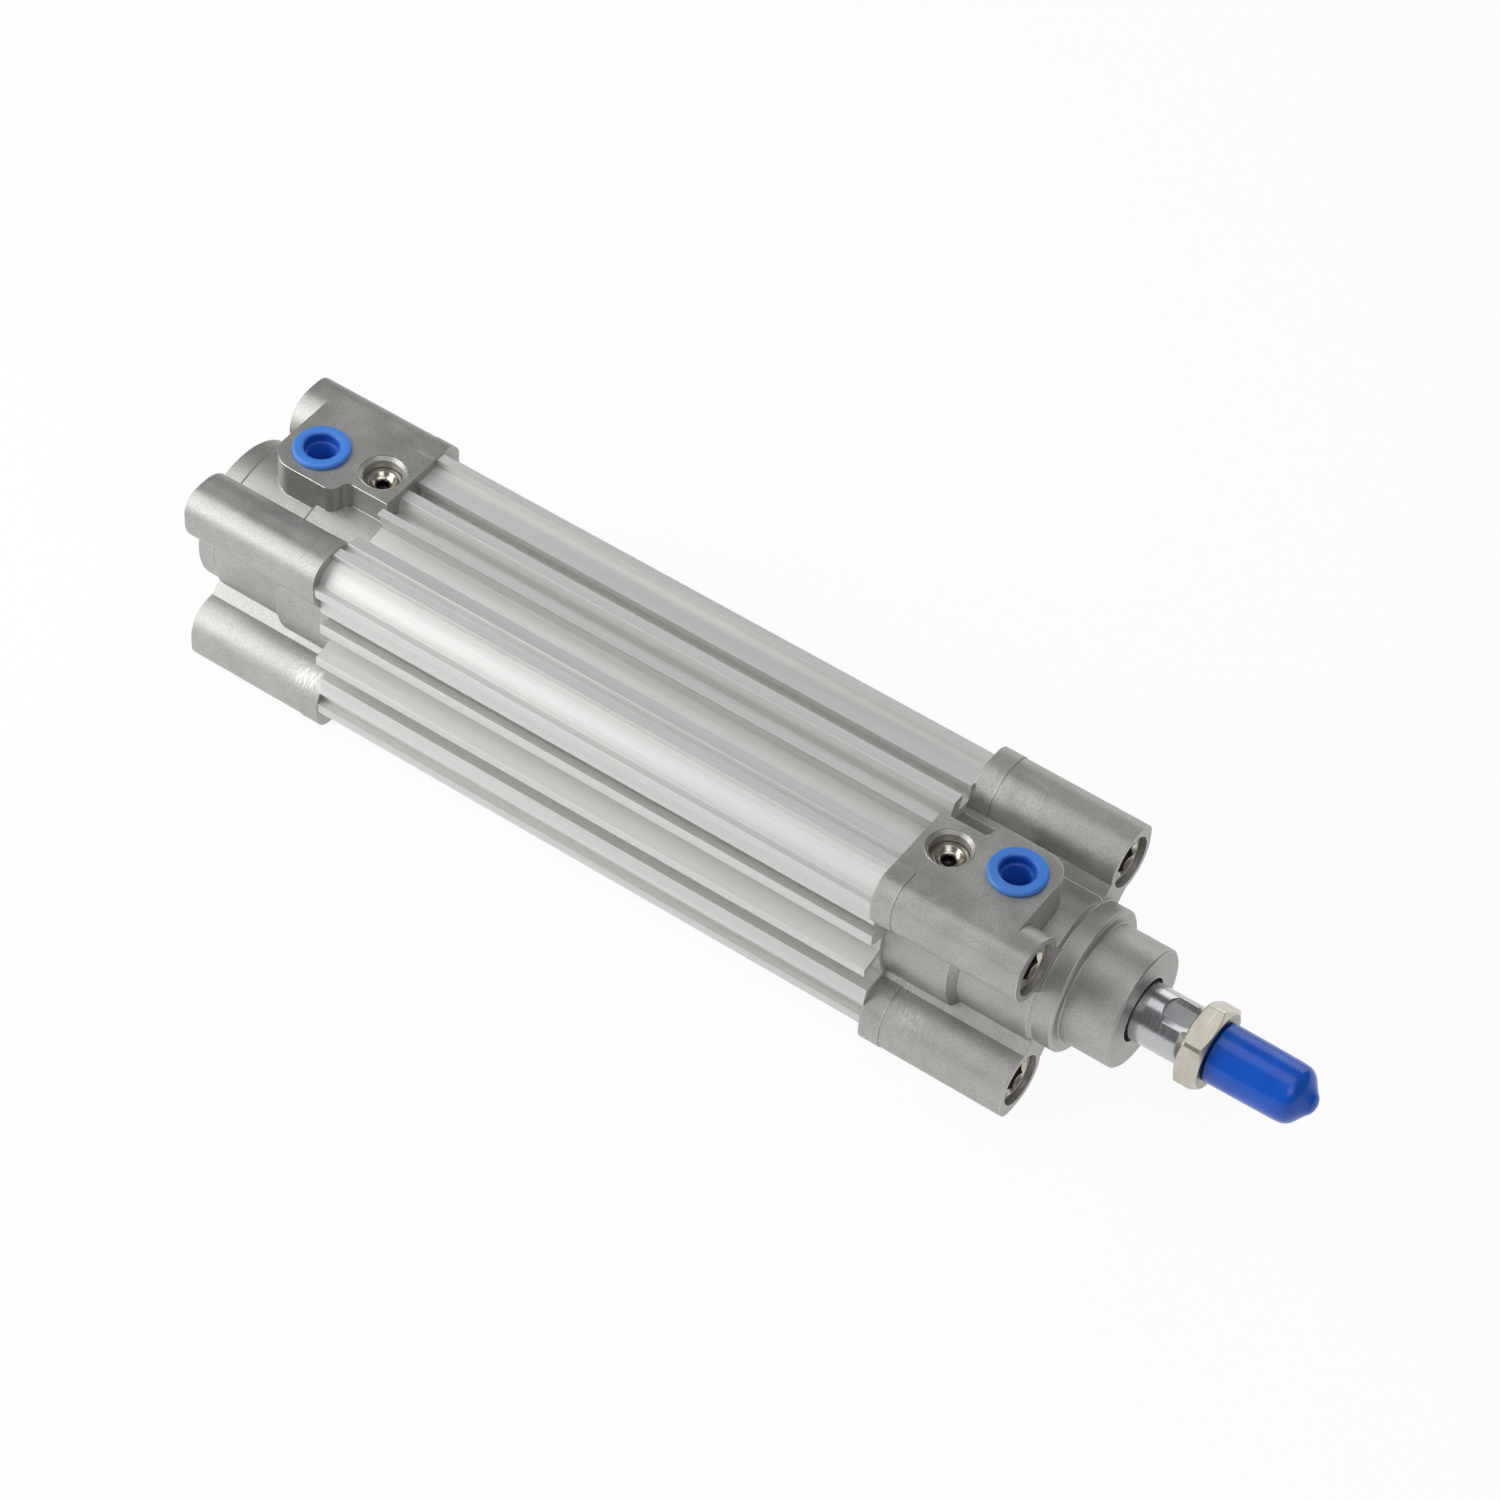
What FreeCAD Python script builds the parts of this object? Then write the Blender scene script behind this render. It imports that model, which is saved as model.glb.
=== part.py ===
"""A double-acting profile air cylinder, bore 32 mm and stroke 100 mm, rod retracted.

The frame: X runs along the rod towards its threaded end, Z is up through the air
ports, and the origin is where the rod's axis meets the front mounting face.
Every size is in millimetres.
"""
import FreeCAD, Part
import math
import os
import re
import Sketcher

Vector = FreeCAD.Vector

# Driving sizes

SIZES = {
    # Stroke, bore and fits
    "bore": 32.0,
    "stroke": 100.0,
    "end_gap": 0.3,
    "run_fit": 0.05,
    "seat_gap": 0.02,
    "side_gap": 0.3,
    # Barrel, an extrusion with the same four sides
    "barrel_wall": 2.0,
    "channel_wall": 1.98097038856,
    "barrel_inset": 0.2,
    "lip_rise": 1.35,
    "land_drop": 1.8,
    "ledge_drop": 1.5,
    "ledge_rise": 0.8,
    "lip_a_width": 2.15,
    "lip_a_offset": 0.6,
    "lip_b_width": 2.05,
    "lip_b_offset": 1.75,
    "notch_width": 1.8,
    "notch_slant": 0.7,
    "sensor_slot_width": 5.46,
    "rib_offset": 1.2,
    "rib_width": 2.0,
    "rib_lean": 1.8,
    "rib_waist": 3.2,
    "trough_foot": 3.1,
    "trough_slant": 0.6,
    "trough_edge": 4.5,
    "key_ledge": 2.6,
    "key_slot_width": 3.0,
    "key_slot_lip": 1.4,
    "key_slot_undercut": 0.6,
    "key_slot_depth": 3.6,
    # End covers
    "cover_length": 32.0,
    "cover_corner": 4.4,
    "post_wall": 1.35,
    "web_width": 9.0,
    "flash_depth": 4.5,
    "flash_step": 0.1,
    "core_inset": 0.3,
    "core_round": 0.8,
    "collar_inset": 0.8,
    "collar_length": 14.5,
    "collar_ramp": 1.3,
    "pilot_step": 0.7,
    "pilot_length": 4.2,
    "edge_break": 0.4,
    "nose_wall": 3.25,
    "nose_reach": 15.0,
    "nose_lip": 2.6,
    "nose_gap": 0.75,
    "wiper_length": 5.2,
    "wiper_width": 3.2,
    "bearing_wall": 2.0,
    "spigot_length": 5.0,
    "groove_start": 1.3,
    "groove_width": 2.4,
    "groove_depth": 1.7,
    "cushion_seal_width": 3.2,
    "cushion_seal_length": 3.4,
    "chamber_gap": 1.2,
    "chamber_lead": 1.6,
    # Port block on each cover
    "block_edge": 5.0,
    "block_reach": 3.8,
    "block_root": 1.8,
    "block_corner": 5.5,
    "block_step_lead": 4.1,
    "block_step_round": 2.2,
    "port_margin": 7.6,
    "port_side": 4.1,
    "port_radius": 4.4,
    "port_thread": 9.0,
    "port_passage": 3.0,
    "needle_margin": 6.1,
    "needle_side": 6.5,
    "needle_head_radius": 3.9,
    "needle_sink": 2.5,
    "needle_head_depth": 4.4,
    "needle_ring": 1.1,
    "needle_ring_lift": 1.0,
    "needle_ring_depth": 0.9,
    "needle_radius": 1.7,
    "needle_tip_radius": 0.8,
    "needle_seat_drop": 1.7,
    "needle_socket": 3.5,
    "needle_socket_depth": 2.4,
    "needle_chamfer": 0.75,
    "bypass_radius": 0.9,
    "bypass_lift": 1.0,
    # Screws that hold the covers to the barrel
    "screw_radius": 3.0,
    "screw_head_rim": 2.2,
    "screw_head_gap": 0.2,
    "screw_head_length": 9.0,
    "screw_sink": 1.0,
    "screw_grip": 12.0,
    "screw_socket": 6.0,
    "screw_socket_depth": 4.0,
    "screw_thread_radius": 2.5,
    "screw_thread_depth": 3.6,
    # Piston, seals and cushion sleeves
    "piston_gap": 0.35,
    "piston_seal_start": 2.0,
    "piston_seal_width": 3.2,
    "piston_land": 1.6,
    "piston_seal_depth": 4.5,
    "magnet_inset": 0.6,
    "magnet_wall": 5.9,
    "band_length": 5.2,
    "band_depth": 1.1,
    "cushion_wall": 1.0,
    "cushion_length": 17.0,
    "cushion_lead": 1.0,
    # Rod, nut and thread cap
    "rod_radius": 6.0,
    "rod_reach": 26.0,
    "rod_chamfer": 1.0,
    "rod_tail_radius": 4.0,
    "rod_tail": 10.0,
    "flat_depth": 1.0,
    "flat_length": 6.2,
    "thread_radius": 5.0,
    "thread_length": 22.0,
    "nut_wall": 3.0,
    "nut_height": 5.0,
    "nut_offset": 0.3,
    "nut_turn": 20.6,
    "cap_wall": 1.13,
    "cap_gap": 0.3,
    "cap_length": 20.8,
    "cap_shoulder": 4.8,
    "cap_thread_room": 0.4,
    # Port plug
    "plug_rim": 1.45,
    "plug_flange": 1.1,
    "plug_round": 0.5,
    "plug_wall": 0.95,
    "plug_depth": 8.0,
}

# Places that follow from the sizes. The screw pitch, twice tie_place, comes to 32.5.

PLACES = {
    "bore_radius": "bore / 2",
    "tube_radius": "bore_radius + barrel_wall",
    "barrel_length": "stroke + piston_length + 2 * end_gap + 2 * spigot_length",
    "barrel_front": "0 - cover_length",
    "barrel_rear": "barrel_front - barrel_length",
    "rear_face": "barrel_rear - cover_length",
    "tie_place": "(tube_radius + channel_wall + screw_radius) / sqrt(2)",
    "barrel_half": "cover_half - barrel_inset",
    "lobe_radius": "barrel_half - tie_place - lip_rise",
    "land_height": "barrel_half - land_drop",
    "ledge_low": "barrel_half - ledge_drop",
    "ledge_high": "ledge_low + ledge_rise",
    "lip_a_outer": "tie_place + lip_a_offset",
    "lip_a_inner": "lip_a_outer - lip_a_width",
    "lip_b_outer": "tie_place + lip_b_offset",
    "lip_b_inner": "lip_b_outer - lip_b_width",
    "notch_foot": "lip_a_inner - notch_width",
    "notch_edge": "notch_foot - notch_slant",
    "rib_far": "rib_offset",
    "rib_near": "rib_offset + rib_width",
    "rib_foot_near": "rib_near - rib_lean",
    "rib_foot_far": "rib_lean - rib_far",
    "sensor_slot_edge": "rib_near + sensor_slot_width",
    "waist_height": "barrel_half - rib_waist",
    "key_slot_inner": "trough_edge + key_ledge",
    "key_slot_outer": "key_slot_inner + key_slot_width",
    "key_slot_floor": "land_height - key_slot_depth",
    "cover_half": "tie_place + post_radius",
    "post_radius": "screw_hole_radius + post_wall",
    "core_radius": "bore_radius - core_inset",
    "collar_radius": "tube_radius - collar_inset",
    "collar_start": "cover_length - collar_length",
    "pilot_radius": "core_radius - pilot_step",
    "wiper_radius": "rod_radius + wiper_width",
    "nose_radius": "wiper_radius + nose_wall",
    "bearing_radius": "rod_radius + bearing_wall",
    "web_offset": "web_width / 2 / sqrt(2)",
    "web_root": "core_radius * 0.76 / sqrt(2)",
    "spigot_radius": "bore_radius - run_fit",
    "spigot_end": "barrel_front - spigot_length",
    "groove_from": "spigot_end + groove_start",
    "groove_to": "groove_from + groove_width",
    "groove_root": "bore_radius - groove_depth",
    "cushion_radius": "rod_radius + cushion_wall",
    "cushion_seat_radius": "cushion_radius + cushion_seal_width",
    "cushion_seat": "spigot_end + cushion_seal_length",
    "chamber_radius": "cushion_radius + chamber_gap",
    "chamber_end": "port_place - port_passage - chamber_lead",
    "block_floor": "chamber_radius + block_root",
    "block_step": "needle_place - block_step_lead",
    "port_place": "block_edge + port_margin",
    "needle_place": "cover_length - needle_margin",
    "wiper_from": "wiper_to - wiper_length",
    "wiper_to": "nose_reach - nose_lip",
    "head_top": "cover_half - needle_sink",
    "head_floor": "head_top - needle_head_depth",
    "ring_bottom": "head_floor + needle_ring_lift",
    "ring_top": "ring_bottom + needle_ring",
    "needle_ring_root": "needle_head_radius - needle_ring_depth",
    "bypass_height": "cushion_seat_radius + bypass_lift",
    "needle_seat_height": "bypass_height - needle_seat_drop",
    "screw_head_radius": "screw_radius + screw_head_rim",
    "screw_hole_radius": "screw_head_radius + screw_head_gap",
    "screw_head_end": "0 - (screw_sink + screw_head_length)",
    "screw_end": "barrel_front - screw_grip",
    "half_piston": "piston_seal_start + piston_seal_width + piston_land + side_gap + band_length / 2",
    "piston_length": "2 * half_piston",
    "piston_seal_root": "bore_radius - piston_seal_depth",
    "piston_rear": "barrel_rear + spigot_length + end_gap",
    "piston_front": "piston_rear + piston_length",
    "piston_middle": "(piston_rear + piston_front) / 2",
    "piston_radius": "bore_radius - piston_gap",
    "band_root": "bore_radius - band_depth",
    "magnet_inner": "band_root - magnet_wall",
    "magnet_length": "band_length - 2 * magnet_inset",
    "thread_end": "rod_reach + thread_length",
    "nut_start": "rod_reach + nut_offset",
    "nut_end": "nut_start + nut_height",
    "nut_width": "2 * (thread_radius + nut_wall)",
    "nut_corner": "nut_width / sqrt(3)",
    "cap_start": "nut_end + cap_gap",
    "cap_radius": "thread_radius + seat_gap + cap_wall",
    "cap_end": "cap_start + cap_length",
    "plug_flange_radius": "port_radius + plug_rim",
}

SHEET = "Sizes"
WHOLE_TURN = 360
HALF_TURN = 180
CORNERS = 4
CORNER_SIGNS = ((1, 1), (-1, 1), (-1, -1), (1, -1))

doc = FreeCAD.newDocument("air_cylinder")


# The sheet and the formulas that read it

def write_sheet():
    """Put every driving size in a sheet, each with its name as its alias."""
    sheet = doc.addObject("Spreadsheet::Sheet", SHEET)
    for row, (name, value) in enumerate(SIZES.items(), start=1):
        sheet.set("A%d" % row, name)
        sheet.set("B%d" % row, "%s" % value)
        sheet.setAlias("B%d" % row, name)
    doc.recompute()
    return sheet


def formula(words):
    """Turn a formula in plain names into one that reads the sheet."""
    def swap(found):
        name = found.group(0)
        if name in PLACES:
            return "(" + formula(PLACES[name]) + ")"
        return SHEET + "." + name if name in SIZES else name
    return re.sub(r"[a-z][a-z_]*", swap, str(words))


def measure(words):
    """Give the present value of a formula as a number."""
    return float(sheet.evalExpression(formula(words)))


# Sketches

def sketch_on(body, role, name, lift="0", along="0"):
    """Attach a new sketch to one of its body's origin planes, lifted off it."""
    sketch = body.newObject("Sketcher::SketchObject", name)
    plane = [item for item in body.Origin.OriginFeatures if item.Role == role][0]
    sketch.AttachmentSupport = [(plane, "")]
    sketch.MapMode = "FlatFace"
    sketch.setExpression("AttachmentOffset.Base.z", formula(lift))
    sketch.setExpression("AttachmentOffset.Base.x", formula(along))
    return sketch


def pin(sketch, kind, item, end, words):
    """Fix one coordinate of a sketch point to a formula."""
    index = sketch.addConstraint(
        Sketcher.Constraint(kind, -1, 1, item, end, measure(words)))
    sketch.setExpression("Constraints[%d]" % index, formula(words))


def corner_points(corners, arcs):
    """Work out where the corners start, with the one that an arc leaves open."""
    points = []
    for index, (across, up) in enumerate(corners):
        if across is None or up is None:
            middle_x, middle_y, _, side = arcs[index - 1]
            start = points[index - 1]
            centre = Vector(measure(middle_x), measure(middle_y), 0)
            radius = (start - centre).Length
            if up is None:
                x = measure(across)
                points.append(Vector(x, centre.y + side * math.sqrt(radius ** 2 - (x - centre.x) ** 2), 0))
            else:
                y = measure(up)
                points.append(Vector(centre.x + side * math.sqrt(radius ** 2 - (y - centre.y) ** 2), y, 0))
        else:
            points.append(Vector(measure(across), measure(up), 0))
    return points


def draw_loop(sketch, corners, arcs=None):
    """Draw a closed outline, its corners given as formulas.

    An arc runs from its corner to the next, about (x, y, way, side): way is 1 where it
    turns left, and side tells on which side of its centre the open coordinate lies.
    """
    arcs = arcs or {}
    points = corner_points(corners, arcs)
    first = sketch.GeometryCount
    ends = []
    for index, start in enumerate(points):
        stop = points[(index + 1) % len(points)]
        if index in arcs:
            middle_x, middle_y, way, _ = arcs[index]
            centre = Vector(measure(middle_x), measure(middle_y), 0)
            low, high = (start, stop) if way > 0 else (stop, start)
            circle = Part.Circle(centre, Vector(0, 0, 1), (start - centre).Length)
            angles = [math.atan2(point.y - centre.y, point.x - centre.x) for point in (low, high)]
            if angles[1] < angles[0]:
                angles[1] += 2 * math.pi
            sketch.addGeometry(Part.ArcOfCircle(circle, *angles), False)
            ends.append((1, 2) if way > 0 else (2, 1))
            pin(sketch, "DistanceX", first + index, 3, middle_x)
            pin(sketch, "DistanceY", first + index, 3, middle_y)
        else:
            sketch.addGeometry(Part.LineSegment(start, stop), False)
            ends.append((1, 2))
    for index, (across, up) in enumerate(corners):
        after = (index + 1) % len(corners)
        sketch.addConstraint(Sketcher.Constraint(
            "Coincident", first + index, ends[index][1], first + after, ends[after][0]))
        if across is not None:
            pin(sketch, "DistanceX", first + index, ends[index][0], across)
        if up is not None:
            pin(sketch, "DistanceY", first + index, ends[index][0], up)


def draw_circle(sketch, across, up, radius):
    """Draw a circle whose centre and radius are formulas."""
    centre = Vector(measure(across), measure(up), 0)
    item = sketch.addGeometry(Part.Circle(centre, Vector(0, 0, 1), measure(radius)), False)
    pin(sketch, "DistanceX", item, 3, across)
    pin(sketch, "DistanceY", item, 3, up)
    index = sketch.addConstraint(Sketcher.Constraint("Radius", item, measure(radius)))
    sketch.setExpression("Constraints[%d]" % index, formula(radius))


def hexagon(across, up, width):
    """Give the corners of a hexagon with two flats facing sideways."""
    half = "(%s) / 2" % width
    short = "(%s) / 2 / sqrt(3)" % width
    reach = "(%s) / sqrt(3)" % width
    steps = ((half, short), ("0", reach), ("-%s" % half, short),
             ("-%s" % half, "-%s" % short), ("0", "-%s" % reach), (half, "-%s" % short))
    return [("%s + %s" % (across, step_x), "%s + %s" % (up, step_y)) for step_x, step_y in steps]


# Features

def new_body(label):
    """Start a sub-part, whose label names its file."""
    body = doc.addObject("PartDesign::Body", label)
    body.Label = label
    return body


def checked(body, feature, grows):
    """Recompute and make sure that a feature added or removed material."""
    earlier = [item for item in body.Group if item.isDerivedFrom("PartDesign::Feature")][:-1]
    before = earlier[-1].Shape.Volume if earlier else 0.0
    body.Tip = feature
    doc.recompute()
    change = feature.Shape.Volume - before
    if (change <= 0) if grows else (change >= 0):
        raise ValueError("%s changes nothing" % feature.Name)
    return feature


def pad(body, sketch, length, backwards=False):
    """Raise a sketch by a length."""
    feature = body.newObject("PartDesign::Pad", sketch.Name + "_pad")
    feature.Profile = sketch
    feature.Reversed = backwards
    feature.setExpression("Length", formula(length))
    return checked(body, feature, True)


def pocket(body, sketch, length, backwards=False, both_ways=False):
    """Cut a sketch into the body by a length."""
    feature = body.newObject("PartDesign::Pocket", sketch.Name + "_pocket")
    feature.Profile = sketch
    feature.Reversed = backwards
    feature.Midplane = both_ways
    feature.setExpression("Length", formula(length))
    return checked(body, feature, False)


def around(body, feature, sketch, grows):
    """Repeat a feature at the four corners or sides, about the sketch's normal."""
    pattern = body.newObject("PartDesign::PolarPattern", feature.Name + "_four")
    pattern.Originals = [feature]
    pattern.Axis = (sketch, ["N_Axis"])
    pattern.Angle = WHOLE_TURN
    pattern.Occurrences = CORNERS
    return checked(body, pattern, grows)


def turn(body, corners, role="XY_Plane", axis="H_Axis", name="turning", cut=False, place=("0", "0")):
    """Revolve an outline about the rod's axis, or about an upright one."""
    sketch = sketch_on(body, role, body.Name + "_" + name, lift=place[1], along=place[0])
    draw_loop(sketch, corners)
    kind = "PartDesign::Groove" if cut else "PartDesign::Revolution"
    feature = body.newObject(kind, body.Name + "_" + name + "_turned")
    feature.Profile = sketch
    feature.ReferenceAxis = (sketch, [axis])
    feature.Angle = WHOLE_TURN
    return checked(body, feature, not cut)


def turned_part(label, corners):
    """Make a sub-part turned about the rod's axis."""
    body = new_body(label)
    turn(body, corners)
    return body


def round_edges(body, name, radius, picks):
    """Round those edges of the body that the test picks."""
    base = body.Tip
    edges = ["Edge%d" % (index + 1) for index, edge in enumerate(base.Shape.Edges) if picks(edge)]
    feature = body.newObject("PartDesign::Fillet", body.Name + "_" + name)
    feature.Base = (base, edges)
    feature.setExpression("Radius", formula(radius))
    body.Tip = feature
    doc.recompute()
    return feature


def seat_at_end(body, end):
    """Leave a cover's piece at the front, or turn it half round onto the rear."""
    if end == "rear":
        body.Placement = FreeCAD.Placement(Vector(), FreeCAD.Rotation(Vector(0, 0, 1), HALF_TURN))
        body.setExpression("Placement.Base.x", formula("rear_face"))
    return body


# Barrel

def barrel():
    """The extruded tube: four corner lobes, lips, slots and a rib on each side."""
    body = new_body("barrel")
    tube = sketch_on(body, "YZ_Plane", "tube_outline", lift="barrel_rear")
    draw_circle(tube, "0", "0", "tube_radius")
    pad(body, tube, "barrel_length")

    corner = sketch_on(body, "YZ_Plane", "corner_outline", lift="barrel_rear")
    lobe = "0 - tie_place"
    inner_floor = "0 - (tube_radius - barrel_wall / 2)"
    corners = [
        ("0 - sensor_slot_edge", "tube_radius - 2 * barrel_wall"),
        ("0 - sensor_slot_edge", "ledge_low"),
        ("0 - notch_edge", "ledge_high"),
        ("0 - notch_foot", "land_height"),
        ("0 - lip_a_inner", "land_height"),
        ("0 - lip_a_inner", "barrel_half"),
        ("0 - lip_a_outer", "barrel_half"),
        ("0 - lip_a_outer", "tie_place + sqrt(lobe_radius ^ 2 - (lip_a_outer - tie_place) ^ 2)"),
        (None, "lip_b_outer"),
        ("0 - barrel_half", "lip_b_outer"),
        ("0 - barrel_half", "lip_b_inner"),
        ("0 - land_height", "lip_b_inner"),
        ("0 - land_height", "key_slot_outer"),
        ("key_slot_lip - land_height", "key_slot_outer"),
        ("key_slot_lip - land_height", "key_slot_outer + key_slot_undercut"),
        ("0 - key_slot_floor", "key_slot_outer + key_slot_undercut"),
        ("0 - key_slot_floor", "key_slot_inner - key_slot_undercut"),
        ("key_slot_lip - land_height", "key_slot_inner - key_slot_undercut"),
        ("key_slot_lip - land_height", "key_slot_inner"),
        ("0 - ledge_low", "key_slot_inner"),
        ("0 - ledge_low", "trough_edge"),
        ("0 - waist_height", "trough_foot + trough_slant"),
        (inner_floor, "trough_foot"),
    ]
    draw_loop(corner, corners, {7: (lobe, "tie_place", 1, -1)})
    around(body, pad(body, corner, "barrel_length"), corner, True)

    rib = sketch_on(body, "YZ_Plane", "rib_outline", lift="barrel_rear")
    rib_foot = "tube_radius - barrel_wall / 2"
    draw_loop(rib, [
        ("0 - rib_foot_near", rib_foot), ("rib_foot_far", rib_foot),
        ("0 - (rib_far - rib_foot_far) / 2", "waist_height"),
        ("0 - rib_far", "barrel_half"), ("0 - rib_near", "barrel_half"),
        ("0 - (rib_near + rib_foot_near) / 2", "(waist_height + barrel_half) / 2")])
    around(body, pad(body, rib, "barrel_length"), rib, True)

    bore = sketch_on(body, "YZ_Plane", "bore_outline", lift="barrel_rear")
    draw_circle(bore, "0", "0", "bore_radius")
    pocket(body, bore, "barrel_length", backwards=True)
    channel = sketch_on(body, "YZ_Plane", "screw_channel", lift="barrel_rear")
    draw_circle(channel, "tie_place", "tie_place", "screw_radius + seat_gap")
    around(body, pocket(body, channel, "barrel_length", backwards=True), channel, False)
    return body


# End covers

def spigot_profile():
    """The outline from the collar round the spigot to the cushion chamber."""
    return [
        ("barrel_front", "collar_radius"), ("barrel_front", "spigot_radius"),
        ("groove_to", "spigot_radius"), ("groove_to", "groove_root"),
        ("groove_from", "groove_root"), ("groove_from", "spigot_radius"),
        ("spigot_end", "spigot_radius"), ("spigot_end", "cushion_seat_radius"),
        ("cushion_seat", "cushion_seat_radius"), ("cushion_seat", "chamber_radius"),
        ("0 - chamber_end", "chamber_radius"),
    ]


def core_profile():
    """The outline from the pilot ring back over the round body to the barrel."""
    return [
        ("pilot_length", "pilot_radius - edge_break"), ("pilot_length - edge_break", "pilot_radius"),
        ("0", "pilot_radius"), ("0", "core_radius - core_round"), ("0 - core_round", "core_radius"),
        ("collar_ramp - collar_start", "core_radius"), ("0 - collar_start", "collar_radius"),
    ]


def front_profile():
    """The front cover's turned form, with the nose, bearing bore and wiper groove."""
    return [
        ("nose_reach", "rod_radius + nose_gap"), ("nose_reach", "nose_radius - edge_break"),
        ("nose_reach - edge_break", "nose_radius"), ("pilot_length", "nose_radius"),
    ] + core_profile() + spigot_profile() + [
        ("0 - chamber_end", "bearing_radius"), ("wiper_from", "bearing_radius"),
        ("wiper_from", "wiper_radius"), ("wiper_to", "wiper_radius"),
        ("wiper_to", "rod_radius + nose_gap"),
    ]


def rear_profile():
    """The rear cover's turned form, closed behind its chamber."""
    return [("pilot_length", "0")] + core_profile() + spigot_profile() + [("0 - chamber_end", "0")]


def post(body, name, extra, start, length):
    """The four corner posts over one stretch of the cover, each with a web to the core."""
    sketch = sketch_on(body, "YZ_Plane", body.Name + "_" + name, lift=start)
    outer = "(cover_half + %s)" % extra
    middle = "(%s - cover_corner)" % outer
    inset = "sqrt((post_radius + %s) ^ 2 - web_width ^ 2 / 4) / sqrt(2)" % extra
    near = "tie_place + web_offset - %s" % inset
    far = "tie_place - web_offset - %s" % inset
    corners = [
        ("web_root - web_offset", "web_root + web_offset"), (far, near), ("tie_place", None),
        (middle, outer), (None, middle), (outer, "tie_place"), (near, None),
        ("web_root + web_offset", "web_root - web_offset"),
    ]
    arcs = {1: ("tie_place", "tie_place", -1, 1), 3: (middle, middle, -1, 1),
            5: ("tie_place", "tie_place", -1, -1)}
    draw_loop(sketch, corners, arcs)
    around(body, pad(body, sketch, length, backwards=True), sketch, True)


def port_block(body):
    """The block that carries the port and the cushion screw, joined to one post."""
    sketch = sketch_on(body, "XY_Plane", body.Name + "_block", lift="block_floor")
    step_in = "block_reach - block_step_round"
    corners = [
        ("0 - block_edge", "0 - tie_place"),
        ("0 - block_edge", "block_reach - block_corner"),
        ("0 - (block_edge + block_corner)", None),
        ("block_step_round - block_step", "block_reach"),
        (None, step_in),
        ("0 - (block_step + %s)" % step_in, None),
        ("barrel_front", "0"),
        ("barrel_front", "0 - tie_place"),
    ]
    arcs = {
        1: ("0 - (block_edge + block_corner)", "block_reach - block_corner", 1, 1),
        3: ("block_step_round - block_step", step_in, 1, -1),
        4: ("0 - (block_step + %s)" % step_in, step_in, -1, -1),
    }
    draw_loop(sketch, corners, arcs)
    pad(body, sketch, "cover_half - block_floor")


def drill_block(body):
    """The port, the cushion screw's stepped hole and the passages behind them."""
    port = [("0", "cover_half + edge_break"), ("port_radius", "cover_half + edge_break"),
            ("port_radius", "cover_half - port_thread"), ("port_passage", "cover_half - port_thread"),
            ("port_passage", "0 - edge_break"), ("0", "0 - edge_break")]
    turn(body, port, "XZ_Plane", "V_Axis", "port", True, ("0 - port_place", "port_side"))
    head = "needle_head_radius + run_fit"
    needle = [("0", "cover_half + edge_break"), ("%s + needle_chamfer" % head, "cover_half + edge_break"),
              ("%s + needle_chamfer" % head, "cover_half"), (head, "cover_half - needle_chamfer"),
              (head, "head_floor"), ("needle_radius + run_fit", "head_floor"),
              ("needle_radius + run_fit", "needle_seat_height"),
              ("needle_tip_radius + run_fit", "needle_seat_height"),
              ("needle_tip_radius + run_fit", "chamber_radius / 2"), ("0", "chamber_radius / 2")]
    turn(body, needle, "XZ_Plane", "V_Axis", "needle", True, ("0 - needle_place", "needle_side"))
    bypass = sketch_on(body, "YZ_Plane", body.Name + "_bypass", lift="spigot_end")
    draw_circle(bypass, "0 - needle_side", "bypass_height", "bypass_radius")
    pocket(body, bypass, "0 - needle_place - spigot_end", backwards=True)


def screw_holes(body):
    """The counterbored holes for the four corner screws."""
    head = sketch_on(body, "YZ_Plane", body.Name + "_head_hole")
    draw_circle(head, "tie_place", "tie_place", "screw_hole_radius")
    around(body, pocket(body, head, "screw_sink + screw_head_length"), head, False)
    shank = sketch_on(body, "YZ_Plane", body.Name + "_shank_hole")
    draw_circle(shank, "tie_place", "tie_place", "screw_radius + run_fit")
    around(body, pocket(body, shank, "cover_length"), shank, False)


def cover(end):
    """One die-cast end cover. The rear one is the front one turned half round."""
    body = new_body(end + "_cover")
    turn(body, front_profile() if end == "front" else rear_profile())
    post(body, "posts", "0", "0", "cover_length - flash_depth")
    post(body, "post_roots", "flash_step", "flash_depth - cover_length", "flash_depth")
    port_block(body)
    drill_block(body)
    screw_holes(body)
    return seat_at_end(body, end)


# Pieces that each cover carries

def tie_screws(end):
    """Four screws through the posts into the barrel, with a socket and a threaded head."""
    body = new_body(end + "_tie_screws")
    body.AllowCompound = True
    places = [("%d * tie_place" % side, "%d * tie_place" % height) for side, height in CORNER_SIGNS]
    stages = (
        ("heads", "0 - screw_sink", "screw_head_radius", "screw_head_length", False),
        ("shanks", "screw_head_end", "screw_radius", "screw_head_end - screw_end", False),
        ("threads", "0 - (screw_sink + screw_socket_depth)", "screw_thread_radius",
         "screw_thread_depth", True),
    )
    for name, start, radius, length, cut in stages:
        sketch = sketch_on(body, "YZ_Plane", "%s_%s" % (end, name), lift=start)
        for across, up in places:
            draw_circle(sketch, across, up, radius)
        if cut:
            pocket(body, sketch, length)
        else:
            pad(body, sketch, length, backwards=True)
    sockets = sketch_on(body, "YZ_Plane", end + "_sockets", lift="0 - screw_sink")
    for across, up in places:
        draw_loop(sockets, hexagon(across, up, "screw_socket"))
    pocket(body, sockets, "screw_socket_depth")
    return seat_at_end(body, end)


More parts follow.
